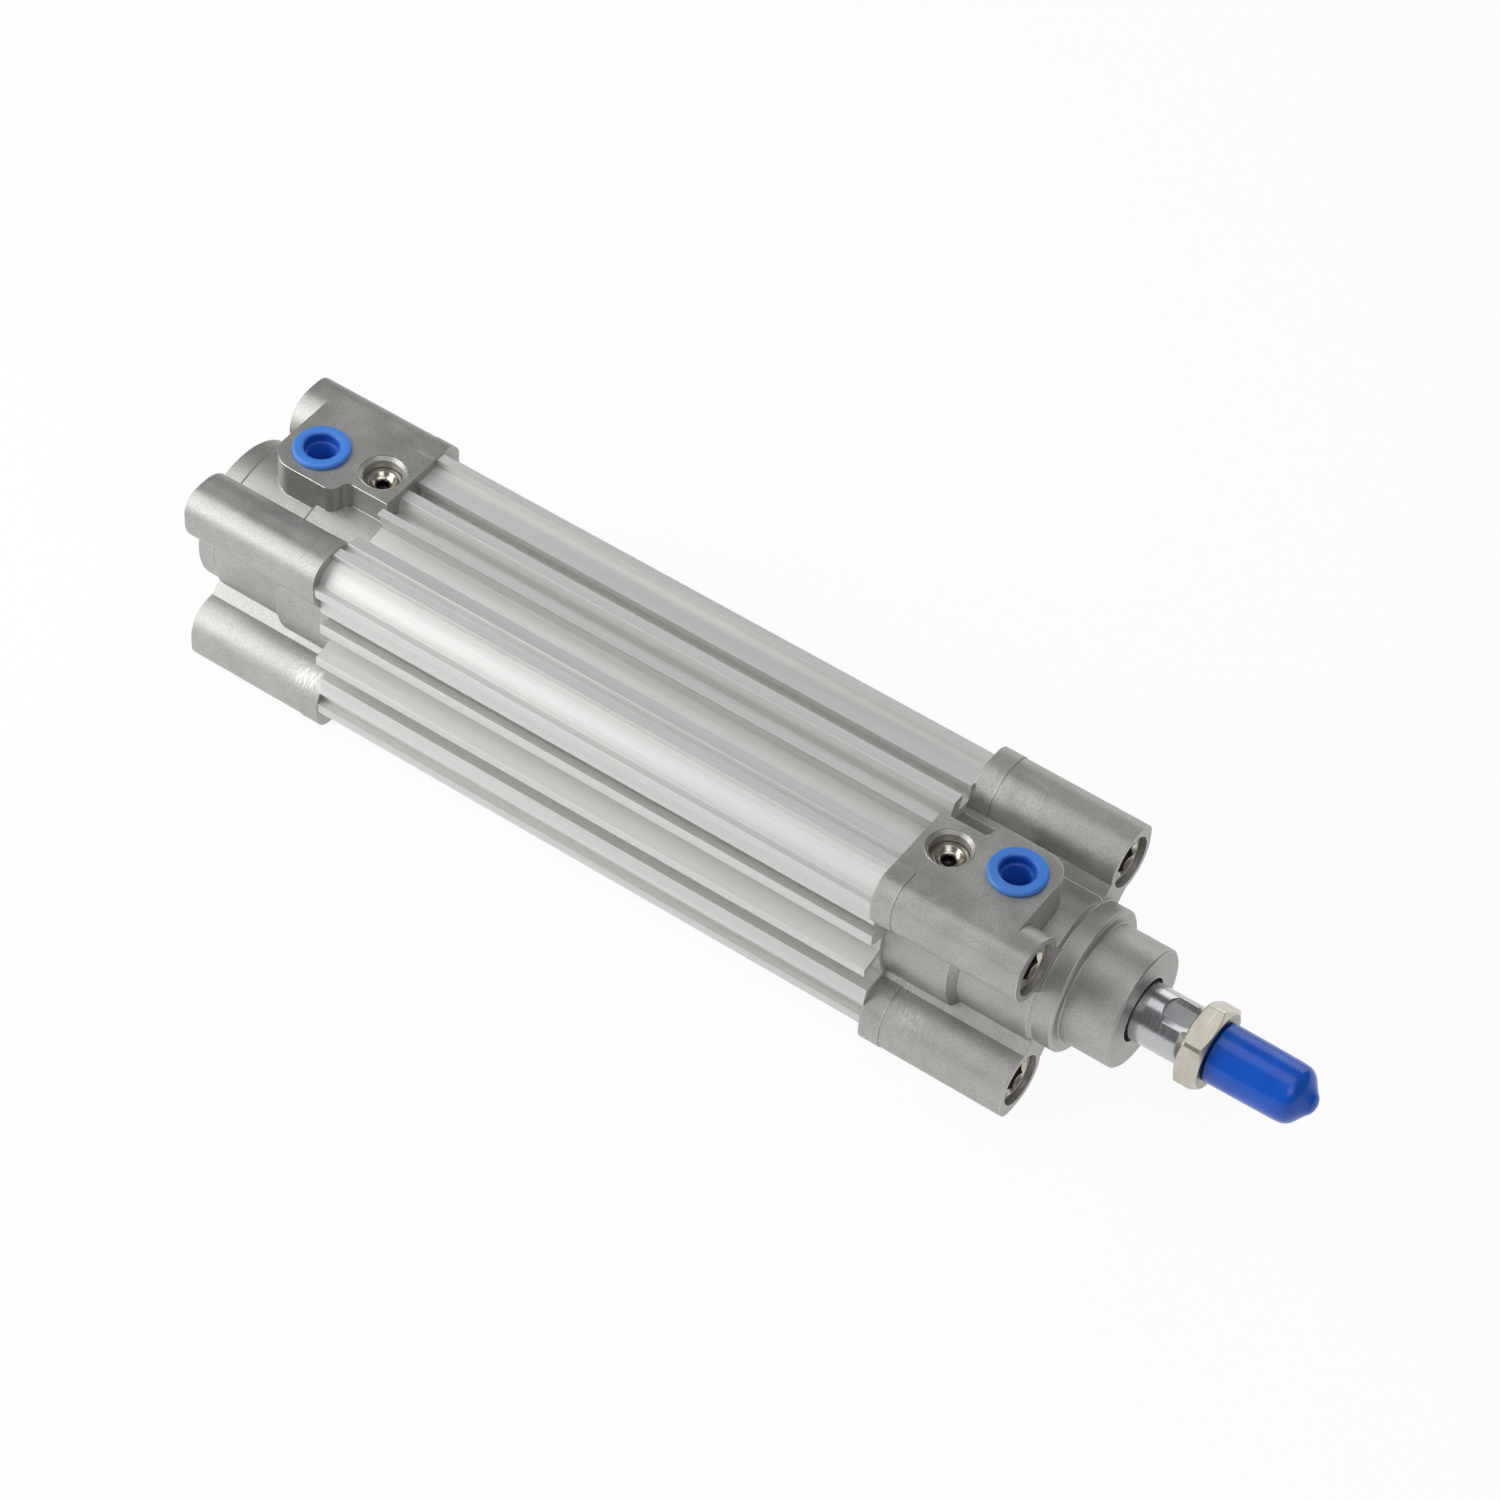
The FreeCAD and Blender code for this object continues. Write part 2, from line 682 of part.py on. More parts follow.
def barrel_seal(end):
    """The ring in the spigot's groove that seals the cover in the bore."""
    body = turned_part(end + "_barrel_seal", [
        ("groove_from + run_fit", "groove_root + run_fit"), ("groove_to - run_fit", "groove_root + run_fit"),
        ("groove_to - run_fit", "bore_radius - edge_break"), ("groove_to - edge_break", "bore_radius - seat_gap"),
        ("groove_from + edge_break", "bore_radius - seat_gap"),
        ("groove_from + run_fit", "bore_radius - edge_break")])
    return seat_at_end(body, end)


def cushion_seal(end):
    """The ring that closes on the cushion sleeve near the end of the stroke."""
    body = turned_part(end + "_cushion_seal", [
        ("spigot_end + edge_break", "cushion_radius + run_fit"), ("cushion_seat - run_fit", "cushion_radius + run_fit"),
        ("cushion_seat - run_fit", "cushion_seat_radius - run_fit"),
        ("spigot_end + run_fit", "cushion_seat_radius - run_fit"),
        ("spigot_end + run_fit", "cushion_radius + edge_break")])
    return seat_at_end(body, end)


def cushion_screw(end):
    """The socketed needle screw that sets the end cushioning."""
    body = new_body(end + "_cushion_screw")
    tip = "needle_seat_height + needle_radius"
    corners = [
        ("0", "head_top"), ("needle_head_radius - edge_break", "head_top"),
        ("needle_head_radius", "head_top - edge_break"), ("needle_head_radius", "ring_top"),
        ("needle_ring_root", "ring_top"), ("needle_ring_root", "ring_bottom"),
        ("needle_head_radius", "ring_bottom"), ("needle_head_radius", "head_floor + side_gap"),
        ("needle_radius", "head_floor + side_gap"), ("needle_radius", "%s + needle_radius" % tip),
        ("needle_tip_radius", tip), ("0", tip)]
    turn(body, corners, "XZ_Plane", "V_Axis", "form", False, ("0 - needle_place", "needle_side"))
    socket = sketch_on(body, "XY_Plane", body.Name + "_socket", lift="head_top")
    draw_loop(socket, hexagon("0 - needle_place", "0 - needle_side", "needle_socket"))
    pocket(body, socket, "needle_socket_depth")
    return seat_at_end(body, end)


def cushion_ring(end):
    """The seal ring in the cushion screw's head."""
    body = new_body(end + "_cushion_ring")
    corners = [
        ("needle_ring_root + seat_gap", "ring_bottom + seat_gap"),
        ("needle_head_radius", "ring_bottom + seat_gap"),
        ("needle_head_radius + run_fit / 2", "(ring_bottom + ring_top) / 2"),
        ("needle_head_radius", "ring_top - seat_gap"), ("needle_ring_root + seat_gap", "ring_top - seat_gap")]
    turn(body, corners, "XZ_Plane", "V_Axis", "form", False, ("0 - needle_place", "needle_side"))
    return seat_at_end(body, end)


def port_plug(end):
    """The soft plug that keeps dirt out of the port, with a flange and a hollow stem."""
    body = new_body(end + "_port_plug")
    stem = "port_radius - seat_gap"
    hollow = "%s - plug_wall" % stem
    bottom = "cover_half - plug_depth"
    flange_top = "cover_half + seat_gap + plug_flange"
    corners = [
        ("0", "%s + plug_wall" % bottom), ("0", bottom), ("%s - plug_round" % stem, bottom),
        (stem, "%s + plug_round" % bottom), (stem, "cover_half + seat_gap"),
        ("plug_flange_radius", "cover_half + seat_gap"),
        ("plug_flange_radius", "%s - plug_round" % flange_top),
        ("plug_flange_radius - plug_round", flange_top), ("%s + plug_round" % hollow, flange_top),
        (hollow, "%s - plug_round" % flange_top), (hollow, "%s + plug_wall" % bottom)]
    turn(body, corners, "XZ_Plane", "V_Axis", "form", False, ("0 - port_place", "port_side"))
    return seat_at_end(body, end)


def rod_bearing():
    """The bush that guides the rod in the front cover."""
    return turned_part("rod_bearing", [
        ("0 - chamber_end + edge_break", "rod_radius + run_fit"), ("wiper_from - run_fit", "rod_radius + run_fit"),
        ("wiper_from - run_fit", "bearing_radius - seat_gap"),
        ("0 - chamber_end + edge_break", "bearing_radius - seat_gap")])


def rod_seal():
    """The rod seal and wiper in the nose, in one ring with two lips."""
    return turned_part("rod_seal", [
        ("wiper_from + run_fit", "rod_radius + run_fit"), ("wiper_from + edge_break", "rod_radius + run_fit"),
        ("(wiper_from + wiper_to) / 2", "rod_radius + 2 * edge_break"),
        ("wiper_to - edge_break", "rod_radius + run_fit"), ("wiper_to - run_fit", "rod_radius + run_fit"),
        ("wiper_to - run_fit", "wiper_radius - run_fit"), ("wiper_from + run_fit", "wiper_radius - run_fit")])


# Piston, rod and what they carry

def piston_half(end):
    """One half of the piston, with a seal groove and half of the magnet's seat."""
    sign = {"front": 1, "rear": -1}[end]
    face = "piston_" + end

    def inward(words):
        """Step from the half's outer face towards the piston's middle."""
        return "%s - %d * (%s)" % (face, sign, words)

    def outward(words):
        """Step from the piston's middle towards the half's outer face."""
        return "piston_middle + %d * (%s)" % (sign, words)

    seal_from = inward("piston_seal_start")
    seal_to = inward("piston_seal_start + piston_seal_width")
    return turned_part("piston_%s_half" % end, [
        (face, "rod_tail_radius + seat_gap"), (face, "piston_radius - edge_break"),
        (inward("edge_break"), "piston_radius"), (seal_from, "piston_radius"),
        (seal_from, "piston_seal_root"), (seal_to, "piston_seal_root"), (seal_to, "piston_radius"),
        (outward("band_length / 2 + side_gap"), "piston_radius"),
        (outward("band_length / 2 + side_gap"), "band_root"),
        (outward("magnet_length / 2 + seat_gap"), "band_root"),
        (outward("magnet_length / 2 + seat_gap"), "magnet_inner"),
        (outward("seat_gap / 2"), "magnet_inner"), (outward("seat_gap / 2"), "rod_tail_radius + seat_gap")])


def piston_seal(end):
    """The lip seal in one piston half's groove."""
    sign = {"front": 1, "rear": -1}[end]
    start = "piston_%s - %d * (piston_seal_start + side_gap)" % (end, sign)
    stop = "piston_%s - %d * (piston_seal_start + piston_seal_width - side_gap)" % (end, sign)
    return turned_part(end + "_piston_seal", [
        (start, "piston_seal_root + run_fit"), (stop, "piston_seal_root + run_fit"),
        (stop, "piston_radius - edge_break"), ("(%s + %s) / 2" % (start, stop), "piston_radius - edge_break"),
        (start, "bore_radius - run_fit")])


def piston_magnet():
    """The ring magnet between the piston halves, which the sensors read."""
    return turned_part("piston_magnet", [
        (formula_middle(-1, "magnet_length"), "magnet_inner + seat_gap"),
        (formula_middle(1, "magnet_length"), "magnet_inner + seat_gap"),
        (formula_middle(1, "magnet_length"), "band_root - seat_gap"),
        (formula_middle(-1, "magnet_length"), "band_root - seat_gap")])


def piston_guide_ring():
    """The band round the piston that slides in the bore."""
    return turned_part("piston_guide_ring", [
        (formula_middle(-1, "band_length"), "band_root + run_fit"),
        (formula_middle(1, "band_length"), "band_root + run_fit"),
        (formula_middle(1, "band_length"), "bore_radius - run_fit"),
        (formula_middle(-1, "band_length"), "bore_radius - run_fit")])


def formula_middle(sign, length):
    """Half of a length to one side of the piston's middle."""
    return "piston_middle + %d * %s / 2" % (sign, length)


def front_cushion_sleeve():
    """The sleeve on the rod that enters the front cushion seal."""
    tip = "piston_front + cushion_length"
    return turned_part("front_cushion_sleeve", [
        ("piston_front", "rod_radius + seat_gap"), ("piston_front", "cushion_radius"),
        ("%s - 2 * cushion_lead" % tip, "cushion_radius"),
        (tip, "(cushion_radius + rod_radius) / 2"), (tip, "rod_radius + seat_gap")])


def rear_cushion_sleeve():
    """The blind sleeve that clamps the piston and enters the rear cushion seal."""
    tip = "piston_rear - cushion_length"
    tail = "piston_rear - rod_tail - end_gap"
    return turned_part("rear_cushion_sleeve", [
        ("piston_rear", "rod_tail_radius + seat_gap"), ("piston_rear", "cushion_radius"),
        ("%s + 2 * cushion_lead" % tip, "cushion_radius"), (tip, "cushion_radius - cushion_lead"),
        (tip, "0"), (tail, "0"), (tail, "rod_tail_radius + seat_gap")])


def piston_rod():
    """The rod: a stepped tail, the plain length, two spanner flats and the thread."""
    tail = "piston_rear - rod_tail"
    body = turned_part("piston_rod", [
        ("thread_end", "0"), ("thread_end", "thread_radius - rod_chamfer"),
        ("thread_end - rod_chamfer", "thread_radius"), ("rod_reach", "thread_radius"),
        ("rod_reach", "rod_radius - rod_chamfer * 0.8"), ("rod_reach - rod_chamfer", "rod_radius"),
        ("piston_front", "rod_radius"), ("piston_front", "rod_tail_radius"),
        (tail, "rod_tail_radius"), (tail, "0")])
    flats = sketch_on(body, "XZ_Plane", "spanner_flats")
    flat_start = "rod_reach - flat_length"
    for sign in (1, -1):
        low = "%d * (rod_radius - flat_depth)" % sign
        high = "%d * (rod_radius + edge_break)" % sign
        draw_loop(flats, [(flat_start, low), ("rod_reach + edge_break", low),
                          ("rod_reach + edge_break", high), (flat_start, high)])
    pocket(body, flats, "2 * (rod_radius + edge_break)", both_ways=True)
    return body


def rod_nut():
    """The thin hexagon nut on the rod's thread, chamfered on both faces."""
    body = new_body("rod_nut")
    sketch = sketch_on(body, "YZ_Plane", "nut_outline", lift="nut_start")
    sketch.setExpression("AttachmentOffset.Rotation.Angle", formula("nut_turn"))
    draw_loop(sketch, hexagon("0", "0", "nut_width"))
    pad(body, sketch, "nut_height")
    slope = "(nut_corner - nut_width / 2) / sqrt(3)"
    for name, face, sign in (("back", "nut_start", 1), ("front", "nut_end", -1)):
        turn(body, [(face, "nut_width / 2 - edge_break / 2"), (face, "nut_corner + edge_break"),
                    ("%s + %d * (%s + edge_break)" % (face, sign, slope), "nut_corner + edge_break")],
             name="bevel_" + name, cut=True)
    hole = sketch_on(body, "YZ_Plane", "nut_hole", lift="nut_start")
    draw_circle(hole, "0", "0", "thread_radius + run_fit")
    pocket(body, hole, "nut_height", backwards=True)
    return body


def thread_cap():
    """The soft cap over the thread, with a blunt rounded tip."""
    inner = "thread_end + cap_thread_room"
    return turned_part("thread_cap", [
        ("cap_start", "thread_radius + seat_gap"), ("cap_start", "cap_radius - edge_break"),
        ("cap_start + edge_break", "cap_radius"), ("cap_end - cap_shoulder", "cap_radius"),
        ("cap_end - 0.65 * cap_shoulder", "0.94 * cap_radius"),
        ("cap_end - 0.37 * cap_shoulder", "0.72 * cap_radius"),
        ("cap_end - 0.1 * cap_shoulder", "0.3 * cap_radius"), ("cap_end", "0"),
        (inner, "0"), (inner, "thread_radius + seat_gap")])


# The whole cylinder

def all_parts():
    """Build every sub-part."""
    parts = [barrel()]
    for end in ("front", "rear"):
        parts += [cover(end), tie_screws(end), barrel_seal(end), cushion_seal(end), cushion_screw(end),
                  cushion_ring(end), port_plug(end), piston_half(end), piston_seal(end)]
    return parts + [rod_bearing(), rod_seal(), piston_magnet(), piston_guide_ring(), front_cushion_sleeve(),
                    rear_cushion_sleeve(), piston_rod(), rod_nut(), thread_cap()]


def check_document(parts):
    """Stop if any feature failed or any sub-part isn't a valid shape."""
    for item in doc.Objects:
        if {"Invalid", "Error"} & set(item.State):
            raise ValueError("%s did not compute: %s" % (item.Name, item.State))
    for part in parts:
        if part.Shape.isNull() or not part.Shape.isValid():
            raise ValueError("%s has no valid shape" % part.Label)


def write_parts(parts):
    """Write each sub-part to a file named by its label."""
    os.makedirs("parts", exist_ok=True)
    for part in parts:
        part.Shape.exportStep("parts/%s.step" % part.Label)
        box = part.Shape.BoundBox
        print("%-24s %d solid(s) %10.1f mm3  x %.1f to %.1f" % (
            part.Label, len(part.Shape.Solids), part.Shape.Volume, box.XMin, box.XMax))


sheet = write_sheet()
made = all_parts()
doc.recompute()
check_document(made)
write_parts(made)
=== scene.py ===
"""Looks of a profile air cylinder: barrel, end covers, screws, plugs, rod, nut and cap.

Every size is in millimetres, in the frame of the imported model: X runs along the rod, Z is up
through the ports, and the rod leaves the front mounting face at the origin.
"""

import logging
import math
from dataclasses import dataclass
from enum import Enum
from typing import Any, Callable, Union

import bpy
from mathutils import Matrix, Vector


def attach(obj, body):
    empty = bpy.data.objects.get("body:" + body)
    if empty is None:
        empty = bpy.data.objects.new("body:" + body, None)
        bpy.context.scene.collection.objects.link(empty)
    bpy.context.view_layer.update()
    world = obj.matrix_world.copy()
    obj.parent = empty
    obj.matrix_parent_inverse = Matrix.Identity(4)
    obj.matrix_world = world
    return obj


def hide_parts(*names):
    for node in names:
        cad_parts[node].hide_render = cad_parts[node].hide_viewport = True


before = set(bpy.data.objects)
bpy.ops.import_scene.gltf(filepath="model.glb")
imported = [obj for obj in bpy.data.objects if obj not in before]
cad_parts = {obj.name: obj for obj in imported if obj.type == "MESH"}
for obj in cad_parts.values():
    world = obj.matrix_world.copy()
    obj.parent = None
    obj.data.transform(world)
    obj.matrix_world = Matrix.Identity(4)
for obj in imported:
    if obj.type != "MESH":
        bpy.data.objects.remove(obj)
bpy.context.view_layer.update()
log = logging.getLogger("air_cylinder")

MM = 0.001
COVER_FACES = 194.0  # from the front cover's mounting face to the rear one's
CORNERS = ((1, 1), (-1, 1), (-1, -1), (1, -1))  # the posts' sides in Y and Z, in their order
THREAD_STEPS = 8  # rings to each turn of a thread
EDGE_SAMPLES = 6
EDGE_START = 0.995  # cosine between the flat and the rounded normal where an edge starts to show
EDGE_FULL = 0.9  # the same where it shows fully
PAPER_GREY = "FAFAFA"
FLOOR_REACH = 3000.0
LAMP_AIM = (-80.0, 0.0, 0.0)
SENSOR = 36.0
Point = tuple[float, float, float]
Place = tuple[float, float]
Station = Union[Place, Callable[[float], Place]]


class Axis(Enum):
    """The line that a turned piece is built about."""

    ALONG = "along the rod"
    UP = "up through the port"


class End(Enum):
    """The two ends of the cylinder, which carry like covers."""

    FRONT = "front"
    REAR = "rear"

    def seat(self, point: Point) -> Point:
        """Takes a place on the front cover to the same place on this end's cover."""
        if self is End.FRONT:
            return point
        return (-COVER_FACES - point[0], -point[1], point[2])


def linear(colour: str) -> tuple[float, float, float, float]:
    """Turns an sRGB hex colour into linear light.

    Args:
        colour: Six hex digits.

    Returns:
        Red, green, blue and alpha, from 0 to 1.
    """
    parts = [int(colour[at:at + 2], 16) / 255 for at in (0, 2, 4)]
    light = [c / 12.92 if c <= 0.04045 else ((c + 0.055) / 1.055) ** 2.4 for c in parts]
    return (light[0], light[1], light[2], 1.0)


def add(tree: bpy.types.NodeTree, kind: str, settings: dict[Any, Any] | None = None,
        links: dict[Any, bpy.types.NodeSocket] | None = None) -> bpy.types.Node:
    """Adds one node with its settings and links.

    Args:
        tree: The material's nodes.
        kind: Blender's name for the node's type.
        settings: Values by attribute name, or by the name or number of an input. The key "stops"
            gives a Color Ramp its places and hex colours.
        links: Output sockets by the name or number of the input that each feeds.

    Returns:
        The new node.
    """
    node = tree.nodes.new(kind)
    for key, value in (settings or {}).items():
        if key == "stops":
            for element, (place, colour) in zip(node.color_ramp.elements, value):
                element.position, element.color = place, linear(colour)
        elif isinstance(key, str) and hasattr(node, key):
            setattr(node, key, value)
        else:
            node.inputs[key].default_value = value
    for key, socket in (links or {}).items():
        tree.links.new(socket, node.inputs[key])
    return node


# Patterns


def noise(tree: bpy.types.NodeTree, place: bpy.types.NodeSocket, size: float | Point, detail: float = 3.0,
          roughness: float = 0.5, turn: float = 0.0) -> bpy.types.NodeSocket:
    """Adds a noise pattern.

    Args:
        tree: The material's nodes.
        place: The place on the piece.
        size: The size of its features in millimetres, or one size for each axis.
        detail: How many finer layers it has.
        roughness: How strong the finer layers are.
        turn: Its turn about Z in radians, where the axes differ.

    Returns:
        The pattern, which lies mostly between 0.3 and 0.7.
    """
    scale = 1.0
    if isinstance(size, tuple):
        place = add(tree, "ShaderNodeMapping", {
            "Rotation": (0.0, 0.0, turn), "Scale": tuple(1 / (part * MM) for part in size)},
            {"Vector": place}).outputs["Vector"]
    else:
        scale = 1 / (size * MM)
    return add(tree, "ShaderNodeTexNoise", {"Scale": scale, "Detail": detail, "Roughness": roughness},
               {"Vector": place}).outputs["Fac"]


def tones(tree: bpy.types.NodeTree, pattern: bpy.types.NodeSocket, dark: str, light: str,
          reach: float) -> bpy.types.NodeSocket:
    """Colours a pattern between two tones.

    Args:
        tree: The material's nodes.
        pattern: The pattern.
        dark: The tone where the pattern is low.
        light: The tone where the pattern is high.
        reach: How far from 0.5 the pattern is where it reaches them.

    Returns:
        The colour.
    """
    return add(tree, "ShaderNodeValToRGB", {"stops": [(0.5 - reach, dark), (0.5 + reach, light)]},
               {"Fac": pattern}).outputs["Color"]


def spread(tree: bpy.types.NodeTree, pattern: bpy.types.NodeSocket, low: float,
           high: float) -> bpy.types.NodeSocket:
    """Spreads a pattern over a range of values."""
    return add(tree, "ShaderNodeMapRange", {"From Min": 0.3, "From Max": 0.7, "To Min": low, "To Max": high},
               {"Value": pattern}).outputs["Result"]


def tinted(tree: bpy.types.NodeTree, base: bpy.types.NodeSocket, share: bpy.types.NodeSocket,
           colour: str) -> bpy.types.NodeSocket:
    """Mixes a hex colour into a base colour by a share."""
    return add(tree, "ShaderNodeMix", {"data_type": "RGBA", 7: linear(colour)},
               {0: share, 6: base}).outputs[2]


def shaded(tree: bpy.types.NodeTree, base: bpy.types.NodeSocket,
           shade: bpy.types.NodeSocket) -> bpy.types.NodeSocket:
    """Multiplies a base colour by a shade."""
    return add(tree, "ShaderNodeMix", {"data_type": "RGBA", "blend_type": "MULTIPLY", 0: 1.0},
               {6: base, 7: shade}).outputs[2]


def eased(tree: bpy.types.NodeTree, value: bpy.types.NodeSocket, share: bpy.types.NodeSocket,
          goal: float) -> bpy.types.NodeSocket:
    """Moves a value towards a goal by a share."""
    return add(tree, "ShaderNodeMix", {"data_type": "FLOAT", 3: goal}, {0: share, 2: value}).outputs[0]


def figured(tree: bpy.types.NodeTree, operation: str, first: bpy.types.NodeSocket,
            second: bpy.types.NodeSocket | float) -> bpy.types.NodeSocket:
    """Works out one operation on a value and a second value or number."""
    if isinstance(second, float):
        return add(tree, "ShaderNodeMath", {"operation": operation, 1: second}, {0: first}).outputs["Value"]
    return add(tree, "ShaderNodeMath", {"operation": operation}, {0: first, 1: second}).outputs["Value"]


def marked(tree: bpy.types.NodeTree, name: str) -> bpy.types.NodeSocket:
    """Reads a value that mark() wrote on the faces, or 0 where there is none."""
    return add(tree, "ShaderNodeAttribute", {"attribute_name": name}).outputs["Fac"]


# Finishes


@dataclass(frozen=True)
class Finish:
    """What every finish shares; its relief is a strength, and its depth is in millimetres."""

    name: str = "finish"
    colour: str = "808080"
    metallic: float = 0.0
    roughness: float = 0.5
    relief: float = 0.2
    depth: float = 0.03

    def material(self) -> bpy.types.Material:
        """Makes the material, or gives the one already made.

        Returns:
            The material, with its shader dressed by surface().
        """
        made = bpy.data.materials.get(self.name)
        if made:
            return made
        made = bpy.data.materials.new(self.name)
        made.use_nodes = True
        tree = made.node_tree
        tree.nodes.clear()
        shader = add(tree, "ShaderNodeBsdfPrincipled", {
            "Base Color": linear(self.colour), "Metallic": self.metallic, "Roughness": self.roughness})
        add(tree, "ShaderNodeOutputMaterial", links={"Surface": shader.outputs["BSDF"]})
        self.surface(tree, shader, add(tree, "ShaderNodeTexCoord").outputs["Object"])
        made.diffuse_color = linear(self.colour)
        made.metallic = self.metallic
        made.roughness = self.roughness
        return made

    def surface(self, tree: bpy.types.NodeTree, shader: bpy.types.Node, place: bpy.types.NodeSocket) -> None:
        """Adds what makes this finish; a plain finish adds nothing.

        Args:
            tree: The material's nodes.
            shader: Its shader.
            place: The place on the piece.
        """

    def dress(self, piece: bpy.types.Object) -> None:
        """Puts the material on every slot of a piece."""
        if not piece.data.materials:
            piece.data.materials.append(self.material())
        for slot in piece.material_slots:
            slot.material = self.material()

    def wear_and_sheen(self, tree: bpy.types.NodeTree,
             radius: float) -> tuple[bpy.types.NodeSocket, bpy.types.NodeSocket]:
        """Finds the rounded edges of the piece; the cast and drawn finishes paint the edges paler with its
        mask, as wear and as painted highlight.

        Args:
            tree: The material's nodes.
            radius: The edges' rounding, in millimetres.

        Returns:
            The rounded normal, and a mask that is 1 along the edges.
        """
        rounded = add(tree, "ShaderNodeBevel", {"samples": EDGE_SAMPLES, "Radius": radius * MM})
        flat = add(tree, "ShaderNodeNewGeometry")
        apart = add(tree, "ShaderNodeVectorMath", {"operation": "DOT_PRODUCT"},
                    {0: rounded.outputs["Normal"], 1: flat.outputs["True Normal"]})
        mask = add(tree, "ShaderNodeMapRange", {"From Min": EDGE_START, "From Max": EDGE_FULL},
                   {"Value": apart.outputs["Value"]})
        return rounded.outputs["Normal"], mask.outputs["Result"]

    def join(self, tree: bpy.types.NodeTree, shader: bpy.types.Node, colour: bpy.types.NodeSocket,
             rough: bpy.types.NodeSocket, height: bpy.types.NodeSocket,
             normal: bpy.types.NodeSocket | None = None) -> None:
        """Joins colour, roughness and relief to the shader.

        Args:
            tree: The material's nodes.
            shader: Its shader.
            colour: The skin's colour.
            rough: The skin's roughness.
            height: The pattern that the relief is cut from.
            normal: The normal that the relief lies on, where the edges are rounded.
        """
        under = {"Height": height} if normal is None else {"Height": height, "Normal": normal}
        bump = add(tree, "ShaderNodeBump", {"Strength": self.relief, "Distance": self.depth * MM}, under)
        tree.links.new(colour, shader.inputs["Base Color"])
        tree.links.new(rough, shader.inputs["Roughness"])
        tree.links.new(bump.outputs["Normal"], shader.inputs["Normal"])


@dataclass(frozen=True)
class CastAluminium(Finish):
    """Die-cast aluminium, blasted and tumbled: a fine grain with a soft sheen, rubbed patches, and edges
    painted paler as wear and as painted highlight.
    """

    name: str = "die_cast_aluminium_blasted"
    colour: str = "C7C6C2"
    shade: str = "B9B8B4"
    # The pale tone of rubbed metal, also painted along the edges as a painted highlight.
    bare_and_highlight: str = "E2E1DE"
    bare_and_highlight_share: float = 0.75
    metallic: float = 0.8
    roughness: float = 0.47
    polish: float = 0.22
    relief: float = 0.45
    depth: float = 0.04
    rounding: float = 0.3
    grain: float = 0.3
    cloud: float = 9.0
    scuffs: tuple[tuple[Point, float], ...] = (
        ((-29.0, 13.0, 22.2), 4.6), ((-21.0, 12.6, 21.8), 3.6), ((-27.5, -16.4, -9.6), 4.4),
        ((-22.0, -20.6, -11.2), 4.0), ((-166.0, -20.4, -11.2), 4.5), ((-184.0, -17.8, 22.6), 3.0))

    def surface(self, tree: bpy.types.NodeTree, shader: bpy.types.Node, place: bpy.types.NodeSocket) -> None:
        """Adds blasting grain, casting clouds, rubbed patches, and edges painted paler as wear and as painted
        highlight.
        """
        rounded, edges = self.wear_and_sheen(tree, self.rounding)
        clouds = noise(tree, place, self.cloud, 4.0, 0.65)
        # The blasted grain is about 0.1 mm; it is drawn three times coarser so that it shows.
        grit = noise(tree, place, self.grain, 3.0, 0.6)
        body = shaded(tree, tones(tree, clouds, self.shade, self.colour, 0.15),
                      tones(tree, grit, "D8D8D8", "FFFFFF", 0.2))
        # Rubbed patches and edges are painted towards the pale tone; on the edges it is partly wear, partly a
        # painted highlight.
        bright = figured(tree, "MAXIMUM", self.rubbed(tree, place), edges)
        skin = tinted(tree, body, figured(tree, "MULTIPLY", bright, self.bare_and_highlight_share), self.bare_and_highlight)
        rough = spread(tree, clouds, self.roughness - 0.05, self.roughness + 0.07)
        sleek = eased(tree, rough, bright, self.roughness - self.polish)
        self.join(tree, shader, skin, sleek, grit, rounded)

    def rubbed(self, tree: bpy.types.NodeTree, place: bpy.types.NodeSocket) -> bpy.types.NodeSocket:
        """Finds the patches that handling has rubbed bright, streaked across the posts.

        Args:
            tree: The material's nodes.
            place: The place on the piece.

        Returns:
            A mask that is 1 where the grain is rubbed away.
        """
        near: bpy.types.NodeSocket | None = None
        for centre, reach in self.scuffs:
            away = add(tree, "ShaderNodeVectorMath", {
                "operation": "DISTANCE", 1: tuple(c * MM for c in centre)}, {0: place})
            fade = add(tree, "ShaderNodeMapRange", {"From Min": reach * MM, "From Max": 0.3 * reach * MM},
                       {"Value": away.outputs["Value"]}).outputs["Result"]
            near = fade if near is None else figured(tree, "MAXIMUM", near, fade)
        # Handling leaves scratches some tenths of a millimetre wide and a few millimetres long.
        streaks = noise(tree, place, (0.4, 2.6, 1.6), 3.0, 0.7, turn=0.5)
        wear_and_sheen = add(tree, "ShaderNodeMapRange", {"From Min": 0.46, "From Max": 0.66}, {"Value": streaks})
        return figured(tree, "MULTIPLY", near, wear_and_sheen.outputs["Result"])


